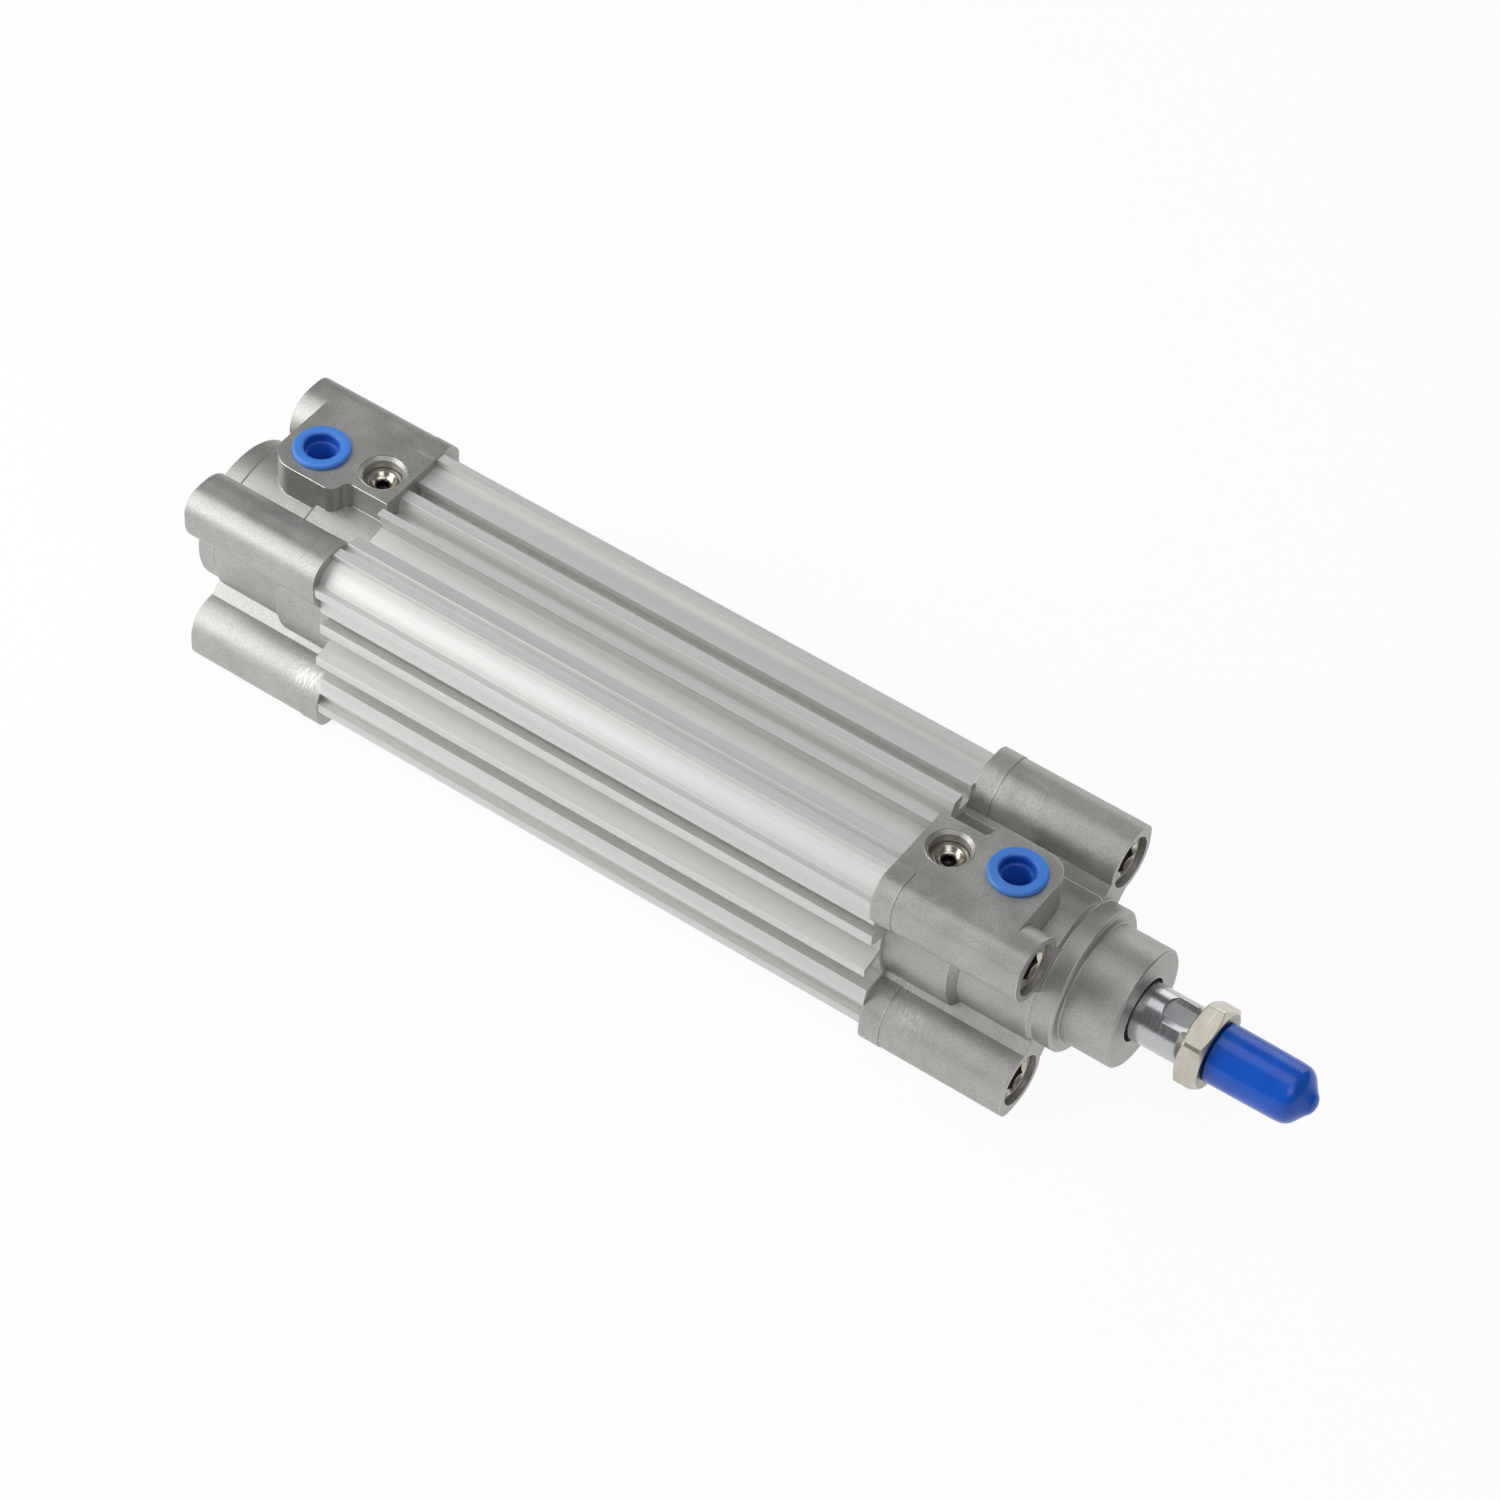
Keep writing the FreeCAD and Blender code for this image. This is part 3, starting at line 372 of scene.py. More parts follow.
@dataclass(frozen=True)
class DrawnAluminium(Finish):
    """Extruded aluminium, clear anodised: silky, with fine die lines along the barrel."""

    name: str = "drawn_aluminium_anodised"
    colour: str = "E2E3E0"
    shade: str = "D8D9D6"
    # The tone along the edges: partly wear, partly a painted highlight.
    edge: str = "F6F6F4"
    metallic: float = 0.4
    roughness: float = 0.52
    relief: float = 0.14
    rounding: float = 0.15
    line: float = 0.3
    line_length: float = 70.0
    band: float = 3.0
    band_length: float = 160.0

    def surface(self, tree: bpy.types.NodeTree, shader: bpy.types.Node, place: bpy.types.NodeSocket) -> None:
        """Adds die lines, long soft bands, and edges painted paler as wear and as painted highlight."""
        rounded, edges = self.wear_and_sheen(tree, self.rounding)
        # Die lines are some hundredths of a millimetre wide and are drawn at 0.3 mm, so that they show.
        lines = noise(tree, place, (self.line_length, self.line, self.line), 3.0, 0.7)
        # The die's wear leaves soft bands about 3 mm wide that run nearly the whole length.
        bands = noise(tree, place, (self.band_length, self.band, self.band), 2.0)
        body = shaded(tree, tones(tree, bands, self.shade, self.colour, 0.2),
                      tones(tree, lines, "F0F0F0", "FCFCFC", 0.2))
        rough = spread(tree, lines, self.roughness - 0.02, self.roughness + 0.03)
        # The edges are painted towards the pale edge tone, as wear and as painted highlight.
        self.join(tree, shader, tinted(tree, body, edges, self.edge), rough, lines, rounded)


@dataclass(frozen=True)
class TurnedMetal(Finish):
    """A turned or ground metal with fine rings.

    Faces marked "milled" are duller, and faces marked for painted shade are painted darker.
    """

    name: str = "steel_nickel_plated"
    colour: str = "C9C4B8"
    shade: str = "B4AE9F"
    # The near black that marked faces are painted towards: painted shade.
    painted_shade_colour: str = "33302C"
    metallic: float = 1.0
    roughness: float = 0.22
    depth: float = 0.01
    rounding: float = 0.12
    ring: float = 0.3
    cloud: float = 4.0
    milled: float = 0.42
    edge_gloss: float = 0.7

    def surface(self, tree: bpy.types.NodeTree, shader: bpy.types.Node, place: bpy.types.NodeSocket) -> None:
        """Adds turning rings, plating clouds, milled faces, painted shade and softened edges."""
        rounded, edges = self.wear_and_sheen(tree, self.rounding)
        # Turning marks are drawn at 0.3 mm, wider than the cutter's real feed, so that they show.
        rings = noise(tree, place, (self.ring, 6.0, 6.0), 3.0, 0.65)
        clouds = noise(tree, place, self.cloud)
        tone = tones(tree, clouds, self.shade, self.colour, 0.15)
        rough = spread(tree, rings, self.roughness - 0.05, self.roughness + 0.08)
        dull = eased(tree, rough, marked(tree, "milled"), self.milled)
        sleek = eased(tree, dull, edges, self.roughness * self.edge_gloss)
        # Marked faces are painted darker: painted shade deep in the sockets and on the nut's end faces.
        self.join(tree, shader, tinted(tree, tone, marked(tree, "painted_shade"), self.painted_shade_colour), sleek, rings, rounded)


@dataclass(frozen=True)
class SoftPlastic(Finish):
    """A moulded or dipped soft plastic: a waxy skin, and a paler tone on marked faces, painted light that
    stands in for light shining through the translucent plastic.
    """

    name: str = "polythene_moulded"
    colour: str = "1C56BC"
    shade: str = "194EAE"
    # The paler tone painted on marked faces: painted light through the translucent plastic.
    painted_light: str = "4886DA"
    roughness: float = 0.36
    relief: float = 0.12
    cloud: float = 5.0
    skin: float = 0.6
    scatter: float = 0.5
    scatter_tint: Point = (0.3, 0.6, 1.0)
    sink: float = 0.2
    gloss: float = 0.35

    def surface(self, tree: bpy.types.NodeTree, shader: bpy.types.Node, place: bpy.types.NodeSocket) -> None:
        """Adds the moulded skin's waviness, colour clouds and the painted light on the marked flange."""
        tone = tones(tree, noise(tree, place, self.cloud), self.shade, self.colour, 0.15)
        # The mould's fine texture is about 0.6 mm from crest to crest.
        skin = noise(tree, place, self.skin, 2.0)
        rough = spread(tree, skin, self.roughness - 0.05, self.roughness + 0.08)
        shader.inputs["Subsurface Weight"].default_value = self.sink
        shader.inputs["Subsurface Radius"].default_value = self.scatter_tint
        shader.inputs["Subsurface Scale"].default_value = self.scatter * MM
        shader.inputs["Specular IOR Level"].default_value = self.gloss
        # Marked faces are painted towards the paler tone: painted light through the translucent flange.
        self.join(tree, shader, tinted(tree, tone, marked(tree, "painted_light"), self.painted_light), rough, skin)


# What each material slot of the record is finished in
FINISHES: dict[str, Finish] = {
    "barrel": DrawnAluminium(),
    "cast_cover": CastAluminium(),
    "nickel_screw": TurnedMetal(),
    "rod": TurnedMetal("steel_hard_chromed", "BFC0C2", shade="B8B9BC", roughness=0.22, depth=0.002),
    "nut": TurnedMetal("steel_nickel_plated_warm", "CBC6BB", shade="C0BAAD", roughness=0.3, depth=0.003),
    "port_plug": SoftPlastic(),
    "thread_cap": SoftPlastic("vinyl_dipped", "125CCE", shade="1056C4", roughness=0.2, sink=0.05, gloss=0.4),
    "seal": SoftPlastic("nitrile_rubber_moulded", "1C1D1E", shade="161717", sink=0.0),
    "bearing": TurnedMetal("bronze_sintered", "8F7350", shade="7D6445", roughness=0.42, ring=0.5),
    "piston": TurnedMetal("aluminium_turned", "C6C7C8", shade="B8B9BA", roughness=0.28),
    "magnet": SoftPlastic("ferrite_bonded", "2B2B2D", shade="232325", roughness=0.6, sink=0.0),
    "guide_band": SoftPlastic("acetal_moulded", "C9C2AE", shade="BFB7A2", roughness=0.4, sink=0.1),
}


# Turned shapes


def arc(centre: Place, radius: float, start: float, stop: float, steps: int) -> list[Place]:
    """Gives the places along an arc of a turned outline.

    Args:
        centre: The arc's centre, as place along the axis and radius from it.
        radius: The arc's radius.
        start: The first angle in degrees, from the axis.
        stop: The last angle in degrees.
        steps: How many steps lie between the two.

    Returns:
        The places in order, both ends among them.
    """
    turns = [math.radians(start + (stop - start) * step / steps) for step in range(steps + 1)]
    return [(centre[0] + radius * math.cos(a), centre[1] + radius * math.sin(a)) for a in turns]


def hexagon(width: float) -> Callable[[float], float]:
    """Gives the radius of a hexagon by angle.

    Args:
        width: The size across the flats.

    Returns:
        A function from the angle in radians, with a corner at 0, to the radius.
    """
    def radius(angle: float) -> float:
        """Radius at an angle from the first corner."""
        return width / 2 / math.cos(angle % (math.pi / 3) - math.pi / 6)
    return radius


@dataclass
class Lathe:
    """Builds closed skins from rings about an axis; a ring's place and radius may vary by angle."""

    axis: Axis
    centre: Place = (0.0, 0.0)
    turn: float = 0.0
    count: int = 96

    def ring(self, station: Station) -> list[Point]:
        """Gives the points of one ring.

        Args:
            station: A place along the axis with a radius, or a function that gives both by angle.

        Returns:
            The ring's points; a ring of no radius is one point.
        """
        if not callable(station) and station[1] == 0:
            return [self.point(station[0], 0.0, 0.0)]
        made = []
        for step in range(self.count):
            angle = math.tau * step / self.count
            place, radius = station(angle) if callable(station) else station
            made.append(self.point(place, radius, angle + math.radians(self.turn)))
        return made

    def point(self, place: float, radius: float, angle: float) -> Point:
        """Gives one point in the frame."""
        across, up = radius * math.cos(angle), radius * math.sin(angle)
        if self.axis is Axis.ALONG:
            return (place, self.centre[0] + across, self.centre[1] + up)
        return (self.centre[0] + across, self.centre[1] + up, place)

    def skin(self, name: str, stations: list[Station], end: End = End.FRONT, sharp: float = 28.0,
             closed: bool = False) -> bpy.types.Object:
        """Builds the piece.

        Args:
            name: The piece's name.
            stations: Its rings in order.
            end: The end of the cylinder that carries it.
            sharp: Edges steeper than this many degrees stay sharp.
            closed: Whether the last ring joins the first, as round a hole.

        Returns:
            The piece, in place.
        """
        points: list[Point] = []
        rings: list[list[int]] = []
        for station in stations:
            made = [end.seat(p) for p in self.ring(station)]
            rings.append(list(range(len(points), len(points) + len(made))))
            points.extend(made)
        faces: list[tuple[int, ...]] = []
        for near, far in zip(rings, rings[1:] + (rings[:1] if closed else [])):
            for step in range(self.count):
                after = (step + 1) % self.count
                if len(near) == 1:
                    faces.append((near[0], far[step], far[after]))
                elif len(far) == 1:
                    faces.append((near[step], far[0], near[after]))
                else:
                    faces.append((near[step], far[step], far[after], near[after]))
        return build(name, points, faces, sharp)


def build(name: str, points: list[Point], faces: list[tuple[int, ...]], sharp: float) -> bpy.types.Object:
    """Makes a mesh piece from points in millimetres.

    Args:
        name: The piece's name.
        points: Its points.
        faces: Its faces, as numbers of points.
        sharp: Edges steeper than this many degrees stay sharp.

    Returns:
        The piece, in the scene.
    """
    mesh = bpy.data.meshes.new(name)
    mesh.from_pydata([tuple(c * MM for c in p) for p in points], [], faces)
    mesh.validate()
    piece = bpy.data.objects.new(name, mesh)
    bpy.context.scene.collection.objects.link(piece)
    bpy.context.view_layer.objects.active = piece
    piece.select_set(True)
    bpy.ops.object.mode_set(mode="EDIT")
    bpy.ops.mesh.select_all(action="SELECT")
    bpy.ops.mesh.normals_make_consistent(inside=False)
    bpy.ops.object.mode_set(mode="OBJECT")
    piece.select_set(False)
    mesh.shade_smooth()
    mesh.set_sharp_from_angle(angle=math.radians(sharp))
    return piece


def mark(piece: bpy.types.Object, name: str, rule: Callable[[Point], float]) -> None:
    """Writes a value on every face of a piece, for its finish to read.

    Args:
        piece: The piece.
        name: The attribute's name.
        rule: A function from a face's middle, in millimetres, to its value.
    """
    values = piece.data.attributes.new(name, "FLOAT", "FACE")
    for face in piece.data.polygons:
        middle = face.center / MM
        values.data[face.index].value = rule((middle.x, middle.y, middle.z))


def place_piece(piece: bpy.types.Object, body: str, slot: str, *nodes: str) -> None:
    """Puts a piece on its body, with its finish and the nodes it stands for.

    Args:
        piece: The piece.
        body: The body it rides on.
        slot: The record's material slot.
        nodes: The nodes it replaces.
    """
    FINISHES[slot].dress(piece)
    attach(piece, body)
    if nodes:
        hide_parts(*nodes)
    log.info("%s rides on %s in %s", piece.name, body, FINISHES[slot].name)


# Sub-assemblies


@dataclass
class Screw:
    """One of the socketed screws that hold a cover, with a thread below its socket.

    Its places lie along the rod on the front cover, and its thread is an inside one.
    """

    end: End
    number: int
    side: int
    height: int
    pitch_half: float = 16.25
    top: float = -1.0
    head: float = 5.2
    head_end: float = -10.0
    shank: float = 3.0
    shank_end: float = -44.0
    socket: float = 6.0
    socket_depth: float = 4.0
    thread: float = 2.5
    thread_end: float = -8.6
    thread_depth: float = 0.35
    pitch: float = 1.0
    lead_in: float = 0.25
    rounding: float = 0.5
    fillet: float = 0.1
    back_chamfer: float = 0.2
    tip_chamfer: float = 0.6
    painted_shade_share: float = 0.85
    painted_shade_depths: Place = (2.4, 9.0)
    painted_shade_margin: float = 0.5

    def build(self) -> bpy.types.Object:
        """Builds the screw and seats it on its cover."""
        lathe = Lathe(Axis.ALONG, (self.side * self.pitch_half, self.height * self.pitch_half), turn=30.0,
                      count=72)
        hexed = hexagon(self.socket)
        floor = self.top - self.socket_depth
        mouth = self.socket / math.sqrt(3) + self.lead_in
        stations: list[Station] = [(self.thread_end, 0.0), (self.thread_end, self.thread)]
        rings = int((floor - self.thread_end) / self.pitch * THREAD_STEPS)
        for step in range(1, rings):
            stations.append(self.thread_ring(self.thread_end + step * self.pitch / THREAD_STEPS))
        stations += [(floor - 0.3, self.thread + 0.15), (floor, self.thread + 0.45),
                     lambda a: (floor, hexed(a) - self.fillet), lambda a: (floor + self.fillet, hexed(a)),
                     lambda a: (self.top - mouth + hexed(a), hexed(a)), (self.top, mouth),
                     (self.top, self.head - self.rounding)]
        stations += arc((self.top - self.rounding, self.head - self.rounding), self.rounding, 0, 90, 4)[1:4]
        stations += [(self.top - self.rounding, self.head), (self.head_end + self.back_chamfer, self.head),
                     (self.head_end, self.head - self.back_chamfer), (self.head_end, self.shank),
                     (self.shank_end + self.tip_chamfer, self.shank),
                     (self.shank_end, self.shank - self.tip_chamfer), (self.shank_end, 0.0)]
        screw = lathe.skin(f"{self.end.value}_tie_screw_{self.number}", stations, self.end)
        middle = self.end.seat((0.0, self.side * self.pitch_half, self.height * self.pitch_half))
        face = self.end.seat((self.top, 0.0, 0.0))[0]

        def painted_shade(place: Point) -> float:
            """How much painted shade a place gets: only the foot of the socket and the thread below it, deep
            in the recess.
            """
            away = math.hypot(place[1] - middle[1], place[2] - middle[2])
            deep = self.painted_shade_depths[0] < abs(place[0] - face) < self.painted_shade_depths[1]
            return self.painted_shade_share if deep and away < self.socket / 2 + self.painted_shade_margin else 0.0

        mark(screw, "painted_shade", painted_shade)
        return screw

    def thread_ring(self, place: float) -> Station:
        """Gives one ring of the inside thread."""
        def rule(angle: float) -> Place:
            """Place and radius at an angle, on a 60 degree thread."""
            share = (place / self.pitch - angle / math.tau) % 1
            return (place, self.thread + self.thread_depth * abs(2 * share - 1))
        return rule


@dataclass
class CushionScrew:
    """The needle screw that sets the end cushioning: a dished head and a hexagon socket.

    Its places are heights on the front cover. The dish's outline counts up from its floor, and the
    brim's down from the top.
    """

    end: End
    centre: Place = (-25.9, -6.5)
    top: float = 20.5
    floor: float = 16.1
    head: float = 3.9
    ring: Place = (17.1, 18.2)
    ring_root: float = 3.0
    needle: float = 1.7
    tip: float = 0.8
    tip_end: float = 11.2
    socket: float = 2.5
    socket_depth: float = 2.4
    drill_point: float = 0.4
    dish_depth: float = 0.9
    dish: tuple[Place, ...] = ((0.0, 1.62), (0.06, 1.8), (0.22, 2.1), (0.5, 2.4))
    brim: tuple[Place, ...] = (
        (-0.14, 2.62), (-0.02, 2.74), (0.0, 2.85), (0.0, 3.55), (-0.06, 3.72), (-0.22, 3.86))
    brim_depth: float = 0.4
    seat_gap: float = 0.3
    painted_shade_share: float = 0.92
    painted_shade_radius: float = 1.6

    def build(self) -> bpy.types.Object:
        """Builds the screw and seats it on its cover."""
        lathe = Lathe(Axis.UP, self.centre, turn=15.0, count=72)
        hexed = hexagon(self.socket)
        bottom = self.top - self.socket_depth
        dish = self.top - self.dish_depth
        stations: list[Station] = [
            (bottom - self.drill_point, 0.0), (bottom, self.socket / 2 - self.drill_point),
            lambda a: (bottom, hexed(a)), lambda a: (dish - 1.5 + hexed(a), hexed(a))]
        stations += [(dish + rise, radius) for rise, radius in self.dish]
        stations += [(self.top + rise, radius) for rise, radius in self.brim]
        seat = self.floor + self.seat_gap
        stations += [
            (self.top - self.brim_depth, self.head), (self.ring[1], self.head),
            (self.ring[1], self.ring_root), (self.ring[0], self.ring_root), (self.ring[0], self.head),
            (seat, self.head), (seat, self.needle), (self.tip_end + self.needle, self.needle),
            (self.tip_end, self.tip), (self.tip_end, 0.0)]
        screw = lathe.skin(f"{self.end.value}_needle_screw", stations, self.end)
        middle = self.end.seat((self.centre[0], self.centre[1], 0.0))

        def painted_shade(place: Point) -> float:
            """How much painted shade a place gets: the whole hexagon socket, up to its mouth."""
            away = math.hypot(place[0] - middle[0], place[1] - middle[1])
            return self.painted_shade_share if away < self.painted_shade_radius and place[2] > bottom - 0.5 else 0.0

        mark(screw, "painted_shade", painted_shade)
        return screw


@dataclass
class PortPlug:
    """The soft dust plug in an air port: a flange with a rounded mouth, a ledge and a hollow stem.

    Its mouth's outline counts down from the top and out from the hole.
    """

    end: End
    centre: Place = (-12.6, -4.1)
    seat: float = 23.02
    flange: float = 1.1
    outer: float = 5.85
    stem: float = 4.38
    hole: float = 3.43
    ledge: float = 2.75
    bottom: float = 15.0
    wall: float = 0.95
    rim: float = 0.6
    ledge_depth: float = 2.0
    mouth: tuple[Place, ...] = ((-0.02, 0.9), (-0.1, 0.4), (-0.3, 0.12), (-0.6, 0.0))

    def build(self) -> bpy.types.Object:
        """Builds the plug, marks its flange for painted light and seats it in its port."""
        lathe = Lathe(Axis.UP, self.centre)
        top = self.seat + self.flange
        step = top - self.ledge_depth
        floor = self.bottom + self.wall
        stations: list[Station] = [
            (self.bottom, 0.0), (self.bottom, self.stem - 0.7), (self.bottom + 0.6, self.stem - 0.05),
            (self.seat - 0.5, self.stem), (self.seat, self.stem + 0.1), (self.seat, self.outer - 0.25),
            (self.seat + 0.2, self.outer)]
        stations += arc((top - self.rim, self.outer - self.rim), self.rim, 90, 0, 6)
        stations += [(top + rise, self.hole + away) for rise, away in self.mouth]
        stations += [
            (step, self.hole - 0.02), (step - 0.04, self.hole - 0.1), (step - 0.06, self.ledge + 0.12),
            (step - 0.16, self.ledge), (floor + 0.3, self.ledge - 0.1), (floor, self.ledge - 0.4),
            (floor, 0.0)]
        plug = lathe.skin(f"{self.end.value}_dust_plug", stations, self.end, sharp=50.0)
        middle = self.end.seat((self.centre[0], self.centre[1], 0.0))

        def painted_light(place: Point) -> float:
            """How much painted light a place gets: 1 on the flange, 0 in the hole and on the stem."""
            away = math.hypot(place[0] - middle[0], place[1] - middle[1])
            return min(1.0, max(0.0, (away - self.hole) / 0.7)) if place[2] > self.seat - 0.1 else 0.0

        mark(plug, "painted_light", painted_light)
        return plug


@dataclass
class RodEnd:
    """The hard-chromed rod with its spanner flats and rolled thread."""

    tail: float = -166.7
    tail_radius: float = 4.0
    seat: float = -137.3
    radius: float = 6.0
    reach: float = 26.0
    flat: float = 5.02
    flat_length: float = 6.4
    flat_turn: float = 7.0
    run_out: float = 1.3
    shoulder: Place = (1.3, 0.6)
    thread: float = 5.0
    thread_end: float = 48.0
    thread_depth: float = 0.7
    run_in: float = 0.6
    relief: float = 0.5
    pitch: float = 1.25
    chamfer: float = 1.0

    def build(self) -> bpy.types.Object:
        """Builds the whole rod, from its tail in the piston to its thread."""
        lathe = Lathe(Axis.ALONG, turn=self.flat_turn, count=144)
        stations: list[Station] = [
            (self.tail, 0.0), (self.tail, self.tail_radius - 0.4), (self.tail + 0.4, self.tail_radius),
            (self.seat, self.tail_radius), (self.seat, self.radius), lambda a: (self.cutter(a), self.radius),
            lambda a: (self.cutter(a) + 0.02, self.flatted(a, self.radius))]
        for back, drop in ((self.shoulder[0], 0.0), (0.15, self.shoulder[1]), (0.0, self.shoulder[1] + 0.12)):
            stations.append(lambda a, back=back, drop=drop: (
                self.reach - back, self.flatted(a, self.radius - drop)))
        stations.append((self.reach, self.thread - self.relief))
        rings = int((self.thread_end - self.reach) / self.pitch * THREAD_STEPS)
        for step in range(rings + 1):
            stations.append(self.thread_ring(self.reach + step * self.pitch / THREAD_STEPS))
        stations += [(self.thread_end, self.thread - self.chamfer), (self.thread_end, 0.0)]
        rod = lathe.skin("rod_with_thread", stations, sharp=24.0)
        turn = math.radians(self.flat_turn)

        def milled(place: Point) -> float:
            """Whether a place lies on a flat."""
            height = abs(place[2] * math.cos(turn) - place[1] * math.sin(turn))
            return float(self.reach - self.flat_length < place[0] < self.reach and height < self.flat + 0.01
                         and math.hypot(place[1], place[2]) < self.radius - self.shoulder[1] - 0.05)

        mark(rod, "milled", milled)
        return rod

    def cutter(self, angle: float) -> float:
        """Gives where the round cutter's mark starts at an angle."""
        share = min(1.0, abs(math.cos(angle)) * self.radius / math.sqrt(self.radius ** 2 - self.flat ** 2))
        return self.reach - self.flat_length + self.run_out * share ** 2

    def flatted(self, angle: float, radius: float) -> float:
        """Gives the radius at an angle, no further out than the flats."""
        rise = abs(math.sin(angle))
        return min(radius, self.flat / rise) if rise > 1e-6 else radius

    def thread_ring(self, place: float) -> Station:
        """Gives one ring of the outside thread, which runs in over its first half turn."""
        def rule(angle: float) -> Place:
            """Place and radius at an angle, on a 60 degree thread with flat crests."""
            share = (place / self.pitch - angle / math.tau) % 1
            wave = min(1.0, max(0.0, 1.3 * abs(2 * share - 1) - 0.12))
            run_in = min(1.0, max(0.0, (place - self.reach) / self.run_in))
            radius = self.thread - self.thread_depth * wave * run_in - self.relief * (1 - run_in)
            return (place, min(radius, self.thread_end - place + self.thread - self.chamfer))
        return rule


@dataclass
class RodNut:
    """The thin hexagon nut, chamfered at 30 degrees on both faces."""

    start: float = 26.3
    stop: float = 31.3
    width: float = 16.0
    rim: float = 9.05
    hole: float = 5.05
    turn: float = 48.4
    face: float = 7.75
    lead_in: float = 0.55
    rise: float = 0.03
    edge: float = 0.05
    land: float = 0.09
    chamfer_angle: float = 30.0
    painted_shade_share: float = 0.5

    def build(self) -> bpy.types.Object:
        """Builds the nut about the rod."""
        lathe = Lathe(Axis.ALONG, turn=90.0 + self.turn, count=144)
        hexed = hexagon(self.width)
        slope = math.tan(math.radians(self.chamfer_angle))

        def side(angle: float) -> float:
            """Radius of the hexagon with its corners turned down."""
            return min(hexed(angle), self.rim)

        def fall(angle: float, inset: float) -> float:
            """How far the chamfer has fallen at an angle, that much inside the hexagon."""
            return (side(angle) - self.face - inset) * slope

        stations: list[Station] = [
            (self.start + self.lead_in, self.hole), (self.start, self.hole + self.lead_in),
            (self.start, self.face - 0.08), (self.start + self.rise, self.face),
            lambda a: (self.start + self.rise + fall(a, self.edge), side(a) - self.edge),
            lambda a: (self.start + self.land + fall(a, 0.0), side(a)),
            lambda a: (self.stop - self.land - fall(a, 0.0), side(a)),
            lambda a: (self.stop - self.rise - fall(a, self.edge), side(a) - self.edge),
            (self.stop - self.rise, self.face), (self.stop, self.face - 0.08),
            (self.stop, self.hole + self.lead_in), (self.stop - self.lead_in, self.hole)]
        nut = lathe.skin("lock_nut", stations, sharp=20.0, closed=True)

        def painted_shade(place: Point) -> float:
            """How much painted shade a place gets: the two end faces are painted darker."""
            return 0.0 if self.start + 0.04 < place[0] < self.stop - 0.04 else self.painted_shade_share

        mark(nut, "painted_shade", painted_shade)
        return nut


@dataclass
class ThreadCap:
    """The dipped vinyl cap over the thread: slightly drafted, with a blunt cone and a nub."""

    start: float = 31.36
    radius: float = 6.15
    lip: float = 0.4
    lead_in: float = 0.2
    hole: float = 5.02
    inner: float = 48.4
    outline: tuple[Place, ...] = (
        (40.0, 6.08), (46.2, 6.0), (47.2, 5.93), (47.9, 5.83), (48.5, 5.63), (49.0, 5.33), (49.4, 4.98),
        (49.8, 4.5), (50.2, 3.94), (50.6, 3.36), (51.0, 2.82), (51.35, 2.4), (51.65, 2.08), (51.9, 1.8),
        (52.1, 1.45), (52.25, 1.05), (52.35, 0.6), (52.4, 0.0))

    def build(self) -> bpy.types.Object:
        """Builds the cap over the thread."""
        lathe = Lathe(Axis.ALONG, count=120)
        stations: list[Station] = [
            (self.inner, 0.0), (self.inner, self.hole), (self.start + self.lead_in, self.hole),
            (self.start, self.hole + self.lead_in)]
        stations += arc((self.start + self.lip, self.radius - self.lip), self.lip, 180, 90, 5)
        stations += [(self.start + 0.8, self.radius), (self.start + 1.1, self.radius - 0.04), *self.outline]
        return lathe.skin("rod_thread_cap", stations, sharp=60.0)


@dataclass
class InsertMark:
    """The fine raised line that a mould insert left on the top of the far front post."""

    lines: tuple[tuple[Point, ...], ...] = (
        ((-27.4, 19.7, 22.86), (-27.35, 19.0, 22.98), (-27.3, 17.7, 23.0)),
        ((-26.2, 17.4, 23.0), (-20.1, 16.85, 23.0), (-19.5, 16.7, 23.0), (-19.1, 16.3, 22.99),
         (-18.85, 15.6, 22.96), (-18.6, 14.6, 22.8), (-18.45, 13.6, 22.46)),
        ((-27.1, 19.4, 22.92), (-26.5, 18.9, 22.99)))
    width: float = 0.26
    rise: float = 0.07
    sink: float = 0.05

    def build(self) -> bpy.types.Object:
        """Builds each line as a low ridge that sinks into the casting."""
        points: list[Point] = []
        faces: list[tuple[int, ...]] = []
        for line in self.lines:
            first = len(points)
            for at, spot in enumerate(line):
                before, after = line[max(at - 1, 0)], line[min(at + 1, len(line) - 1)]
                way = Vector((after[0] - before[0], after[1] - before[1])).normalized()
                across = (-way.y * self.width / 2, way.x * self.width / 2)
                for side, lift in ((1, -self.sink), (0, self.rise), (-1, -self.sink)):
                    points.append((spot[0] + side * across[0], spot[1] + side * across[1], spot[2] + lift))
            for at in range(first, len(points) - 3, 3):
                faces += [(at, at + 3, at + 4, at + 1), (at + 1, at + 4, at + 5, at + 2),
                          (at + 2, at + 5, at + 3, at)]
            faces += [(first, first + 1, first + 2), (len(points) - 1, len(points) - 2, len(points) - 3)]
        return build("mould_insert_lines", points, faces, 40.0)


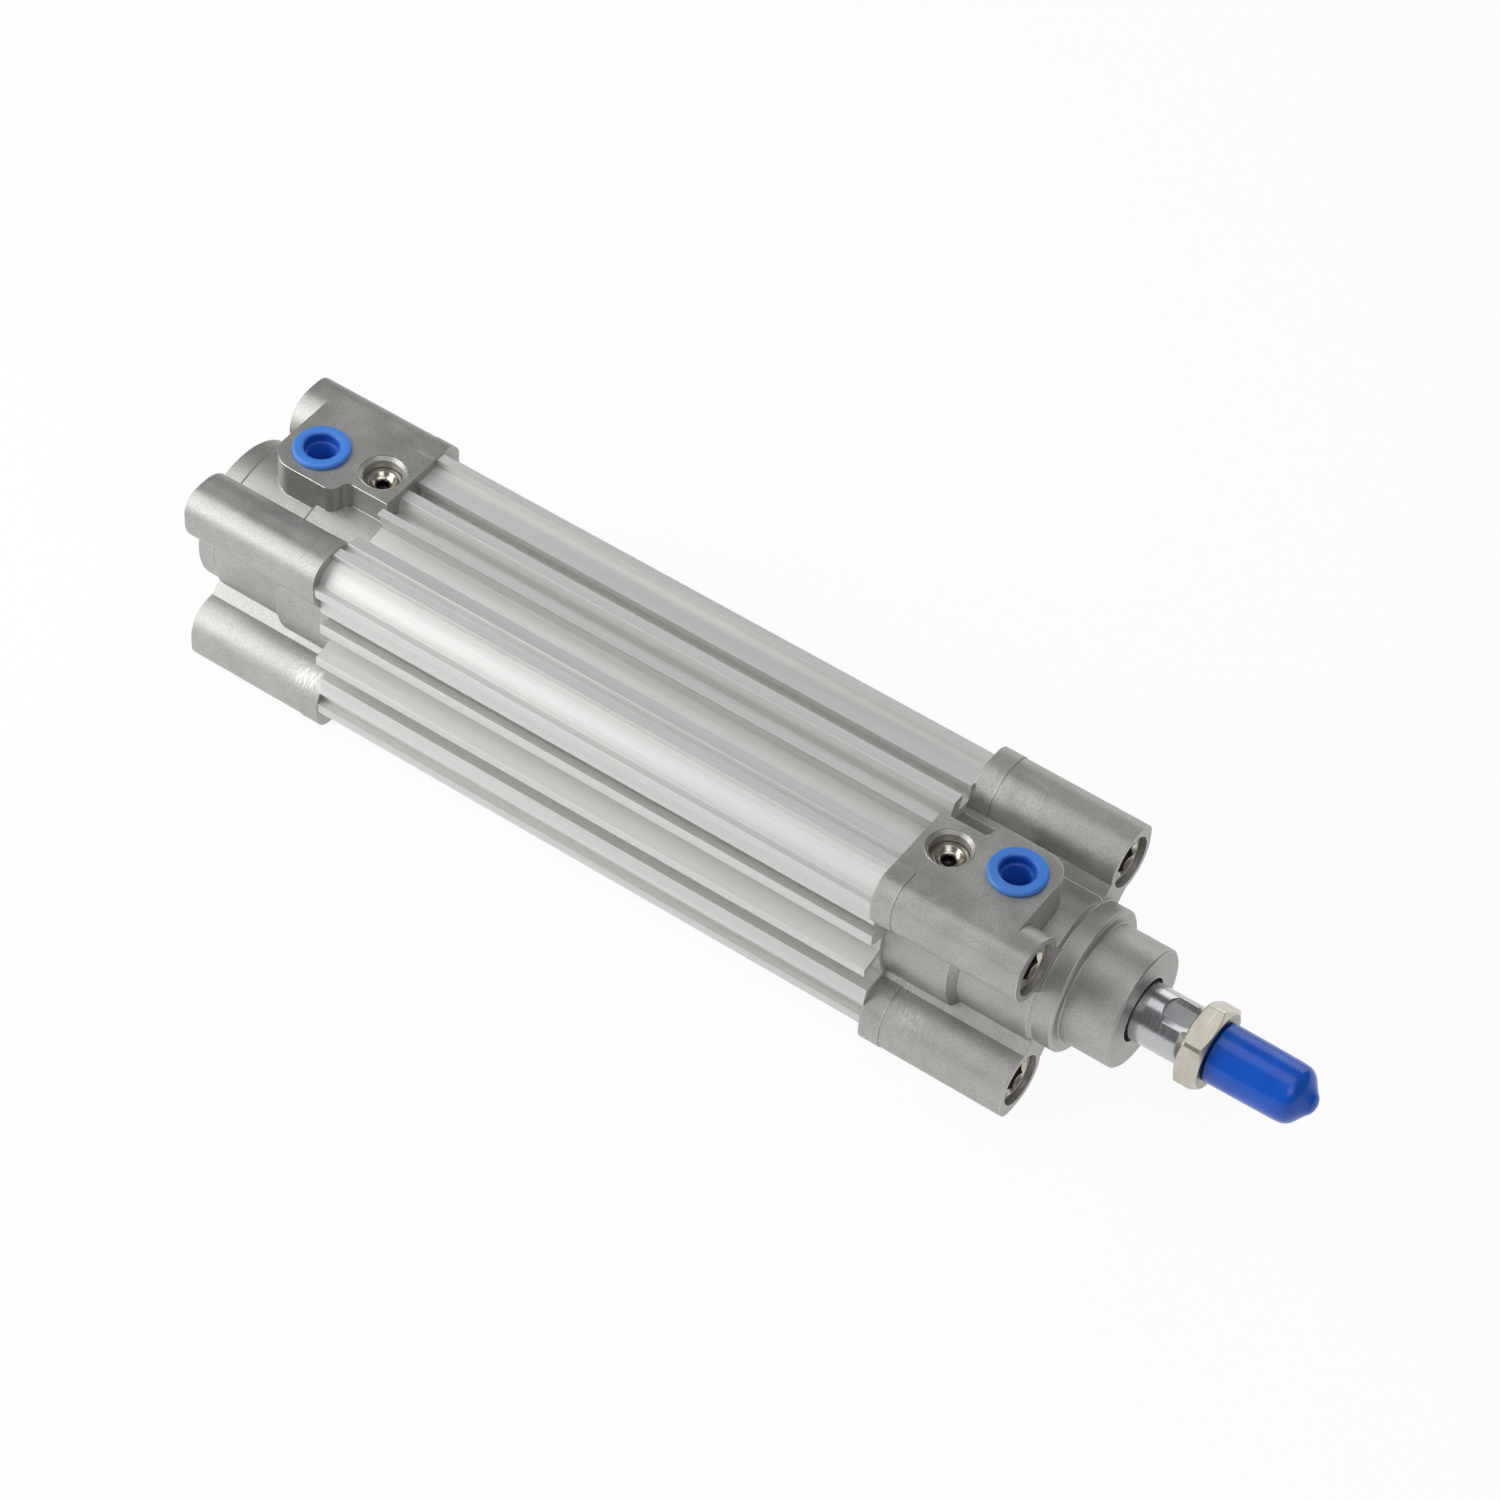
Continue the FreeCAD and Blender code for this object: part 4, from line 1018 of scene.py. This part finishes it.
@dataclass
class Cylinder:
    """The whole cylinder: the pieces that stand for nodes, and the nodes that only change finish."""

    ends: tuple[End, End] = (End.FRONT, End.REAR)

    def build(self) -> None:
        """Builds every piece and dresses every node that stays."""
        for end in self.ends:
            for number, (side, height) in enumerate(CORNERS, 1):
                screw = Screw(end, number, side, height)
                place_piece(screw.build(), "housing", "nickel_screw", end.value + "_tie_screws")
            place_piece(CushionScrew(end).build(), end.value + "_needle", "nickel_screw",
                        end.value + "_cushion_screw")
            place_piece(PortPlug(end).build(), "housing", "port_plug", end.value + "_port_plug")
        place_piece(RodEnd().build(), "rod_and_piston", "rod", "piston_rod")
        place_piece(RodNut().build(), "nut", "nut", "rod_nut")
        place_piece(ThreadCap().build(), "rod_and_piston", "thread_cap", "thread_cap")
        place_piece(InsertMark().build(), "housing", "cast_cover")
        self.dress()

    def dress(self) -> None:
        """Gives each node its finish, by the record's slots."""
        for name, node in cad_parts.items():
            slot = node.data.materials[0].name.split(".")[0]
            FINISHES[slot].dress(node)
            log.info("node %s is finished in %s", name, FINISHES[slot].name)


# Stage


@dataclass
class Stage:
    """The plain pale floor, the soft studio light and the photograph's camera.

    Each lamp has a name, a place and a side in millimetres, and a power in watts. The white is the
    floor's share of plain white for the rays that see it; the rest is matt and takes the shadow.
    """

    floor: float = -23.1
    eye: Point = (257.918, -527.913, 706.482)
    azimuth: float = 32.225
    elevation: float = 48.105
    roll: float = 3.981
    lens: float = 118.08
    world: float = 0.18
    white: float = 0.93
    lamps: tuple[tuple[str, Point, float, float], ...] = (
        ("side_lamp", (-652.0, -572.0, 263.0), 520.0, 2.9),
        ("top_lamp", (-6.0, 0.0, 847.0), 520.0, 1.2),
        ("rear_lamp", (-440.0, -131.0, 322.0), 420.0, 1.2),
        ("front_lamp", (322.0, -402.0, 632.0), 420.0, 1.1),
        ("far_lamp", (-80.0, 780.0, 330.0), 520.0, 1.3))

    def build(self) -> None:
        """Builds the floor, the lamps, the world and the camera."""
        self.lay_floor()
        self.light()
        self.stand_camera()

    def lay_floor(self) -> None:
        """Lays a wide floor under the covers."""
        points = [(x * FLOOR_REACH, y * FLOOR_REACH, self.floor)
                  for x, y in ((-1, -1), (1, -1), (1, 1), (-1, 1))]
        piece = build("studio_floor", points, [(0, 1, 2, 3)], 30.0)
        material = bpy.data.materials.new("studio_paper")
        material.use_nodes = True
        tree = material.node_tree
        tree.nodes.clear()
        matt = add(tree, "ShaderNodeBsdfDiffuse", {"Color": linear(PAPER_GREY)})
        bright = add(tree, "ShaderNodeEmission", {"Color": linear("FFFFFF"), "Strength": 1.0})
        ray = add(tree, "ShaderNodeLightPath")
        seen = figured(tree, "MAXIMUM", ray.outputs["Is Camera Ray"], ray.outputs["Is Glossy Ray"])
        passed = figured(tree, "MAXIMUM", seen, ray.outputs["Is Transmission Ray"])
        blend = add(tree, "ShaderNodeMixShader", links={
            0: figured(tree, "MULTIPLY", passed, self.white), 1: matt.outputs["BSDF"],
            2: bright.outputs["Emission"]})
        add(tree, "ShaderNodeOutputMaterial", links={"Surface": blend.outputs["Shader"]})
        piece.data.materials.append(material)

    def light(self) -> None:
        """Sets a dim world and the large soft lamps round the table."""
        world = bpy.data.worlds.new("studio")
        bpy.context.scene.world = world
        world.use_nodes = True
        tree = world.node_tree
        tree.nodes.clear()
        glow = add(tree, "ShaderNodeBackground", {"Color": linear("F4F6F8"), "Strength": self.world})
        add(tree, "ShaderNodeOutputWorld", links={"Surface": glow.outputs["Background"]})
        for name, place, size, power in self.lamps:
            self.lamp(name, place, size, power)

    def lamp(self, name: str, place: Point, size: float, power: float) -> None:
        """Adds one square soft lamp aimed at the barrel.

        Args:
            name: The lamp's name.
            place: Where it hangs, in millimetres.
            size: Its side, in millimetres.
            power: Its power in watts.
        """
        data = bpy.data.lights.new(name, "AREA")
        data.shape = "SQUARE"
        data.size = size * MM
        data.energy = power
        lamp = bpy.data.objects.new(name, data)
        lamp.location = Vector(place) * MM
        aim = Vector(LAMP_AIM) * MM - lamp.location
        lamp.rotation_mode = "QUATERNION"
        lamp.rotation_quaternion = aim.to_track_quat("-Z", "Y")
        bpy.context.scene.collection.objects.link(lamp)

    def stand_camera(self) -> None:
        """Stands the camera where the photograph was taken from."""
        a, e, r = (math.radians(x) for x in (self.azimuth, self.elevation, self.roll))
        back = Vector((math.sin(a) * math.cos(e), -math.cos(a) * math.cos(e), math.sin(e)))
        right = Vector((math.cos(a), math.sin(a), 0.0))
        up = back.cross(right)
        across = math.cos(r) * right + math.sin(r) * up
        along = -math.sin(r) * right + math.cos(r) * up
        data = bpy.data.cameras.new("photo_camera")
        data.lens = self.lens
        data.sensor_width = SENSOR
        data.clip_start, data.clip_end = 0.01, 20.0
        camera = bpy.data.objects.new("photo_camera", data)
        turned = Matrix((across, along, back)).transposed().to_4x4()
        camera.matrix_world = Matrix.Translation(Vector(self.eye) * MM) @ turned
        bpy.context.scene.collection.objects.link(camera)
        bpy.context.scene.camera = camera
        bpy.context.scene.view_settings.view_transform = "Standard"


def main() -> None:
    """Builds the cylinder on its stage."""
    logging.basicConfig(level=logging.INFO, format="%(name)s: %(message)s")
    Stage().build()
    Cylinder().build()


if __name__ == "__main__":
    main()
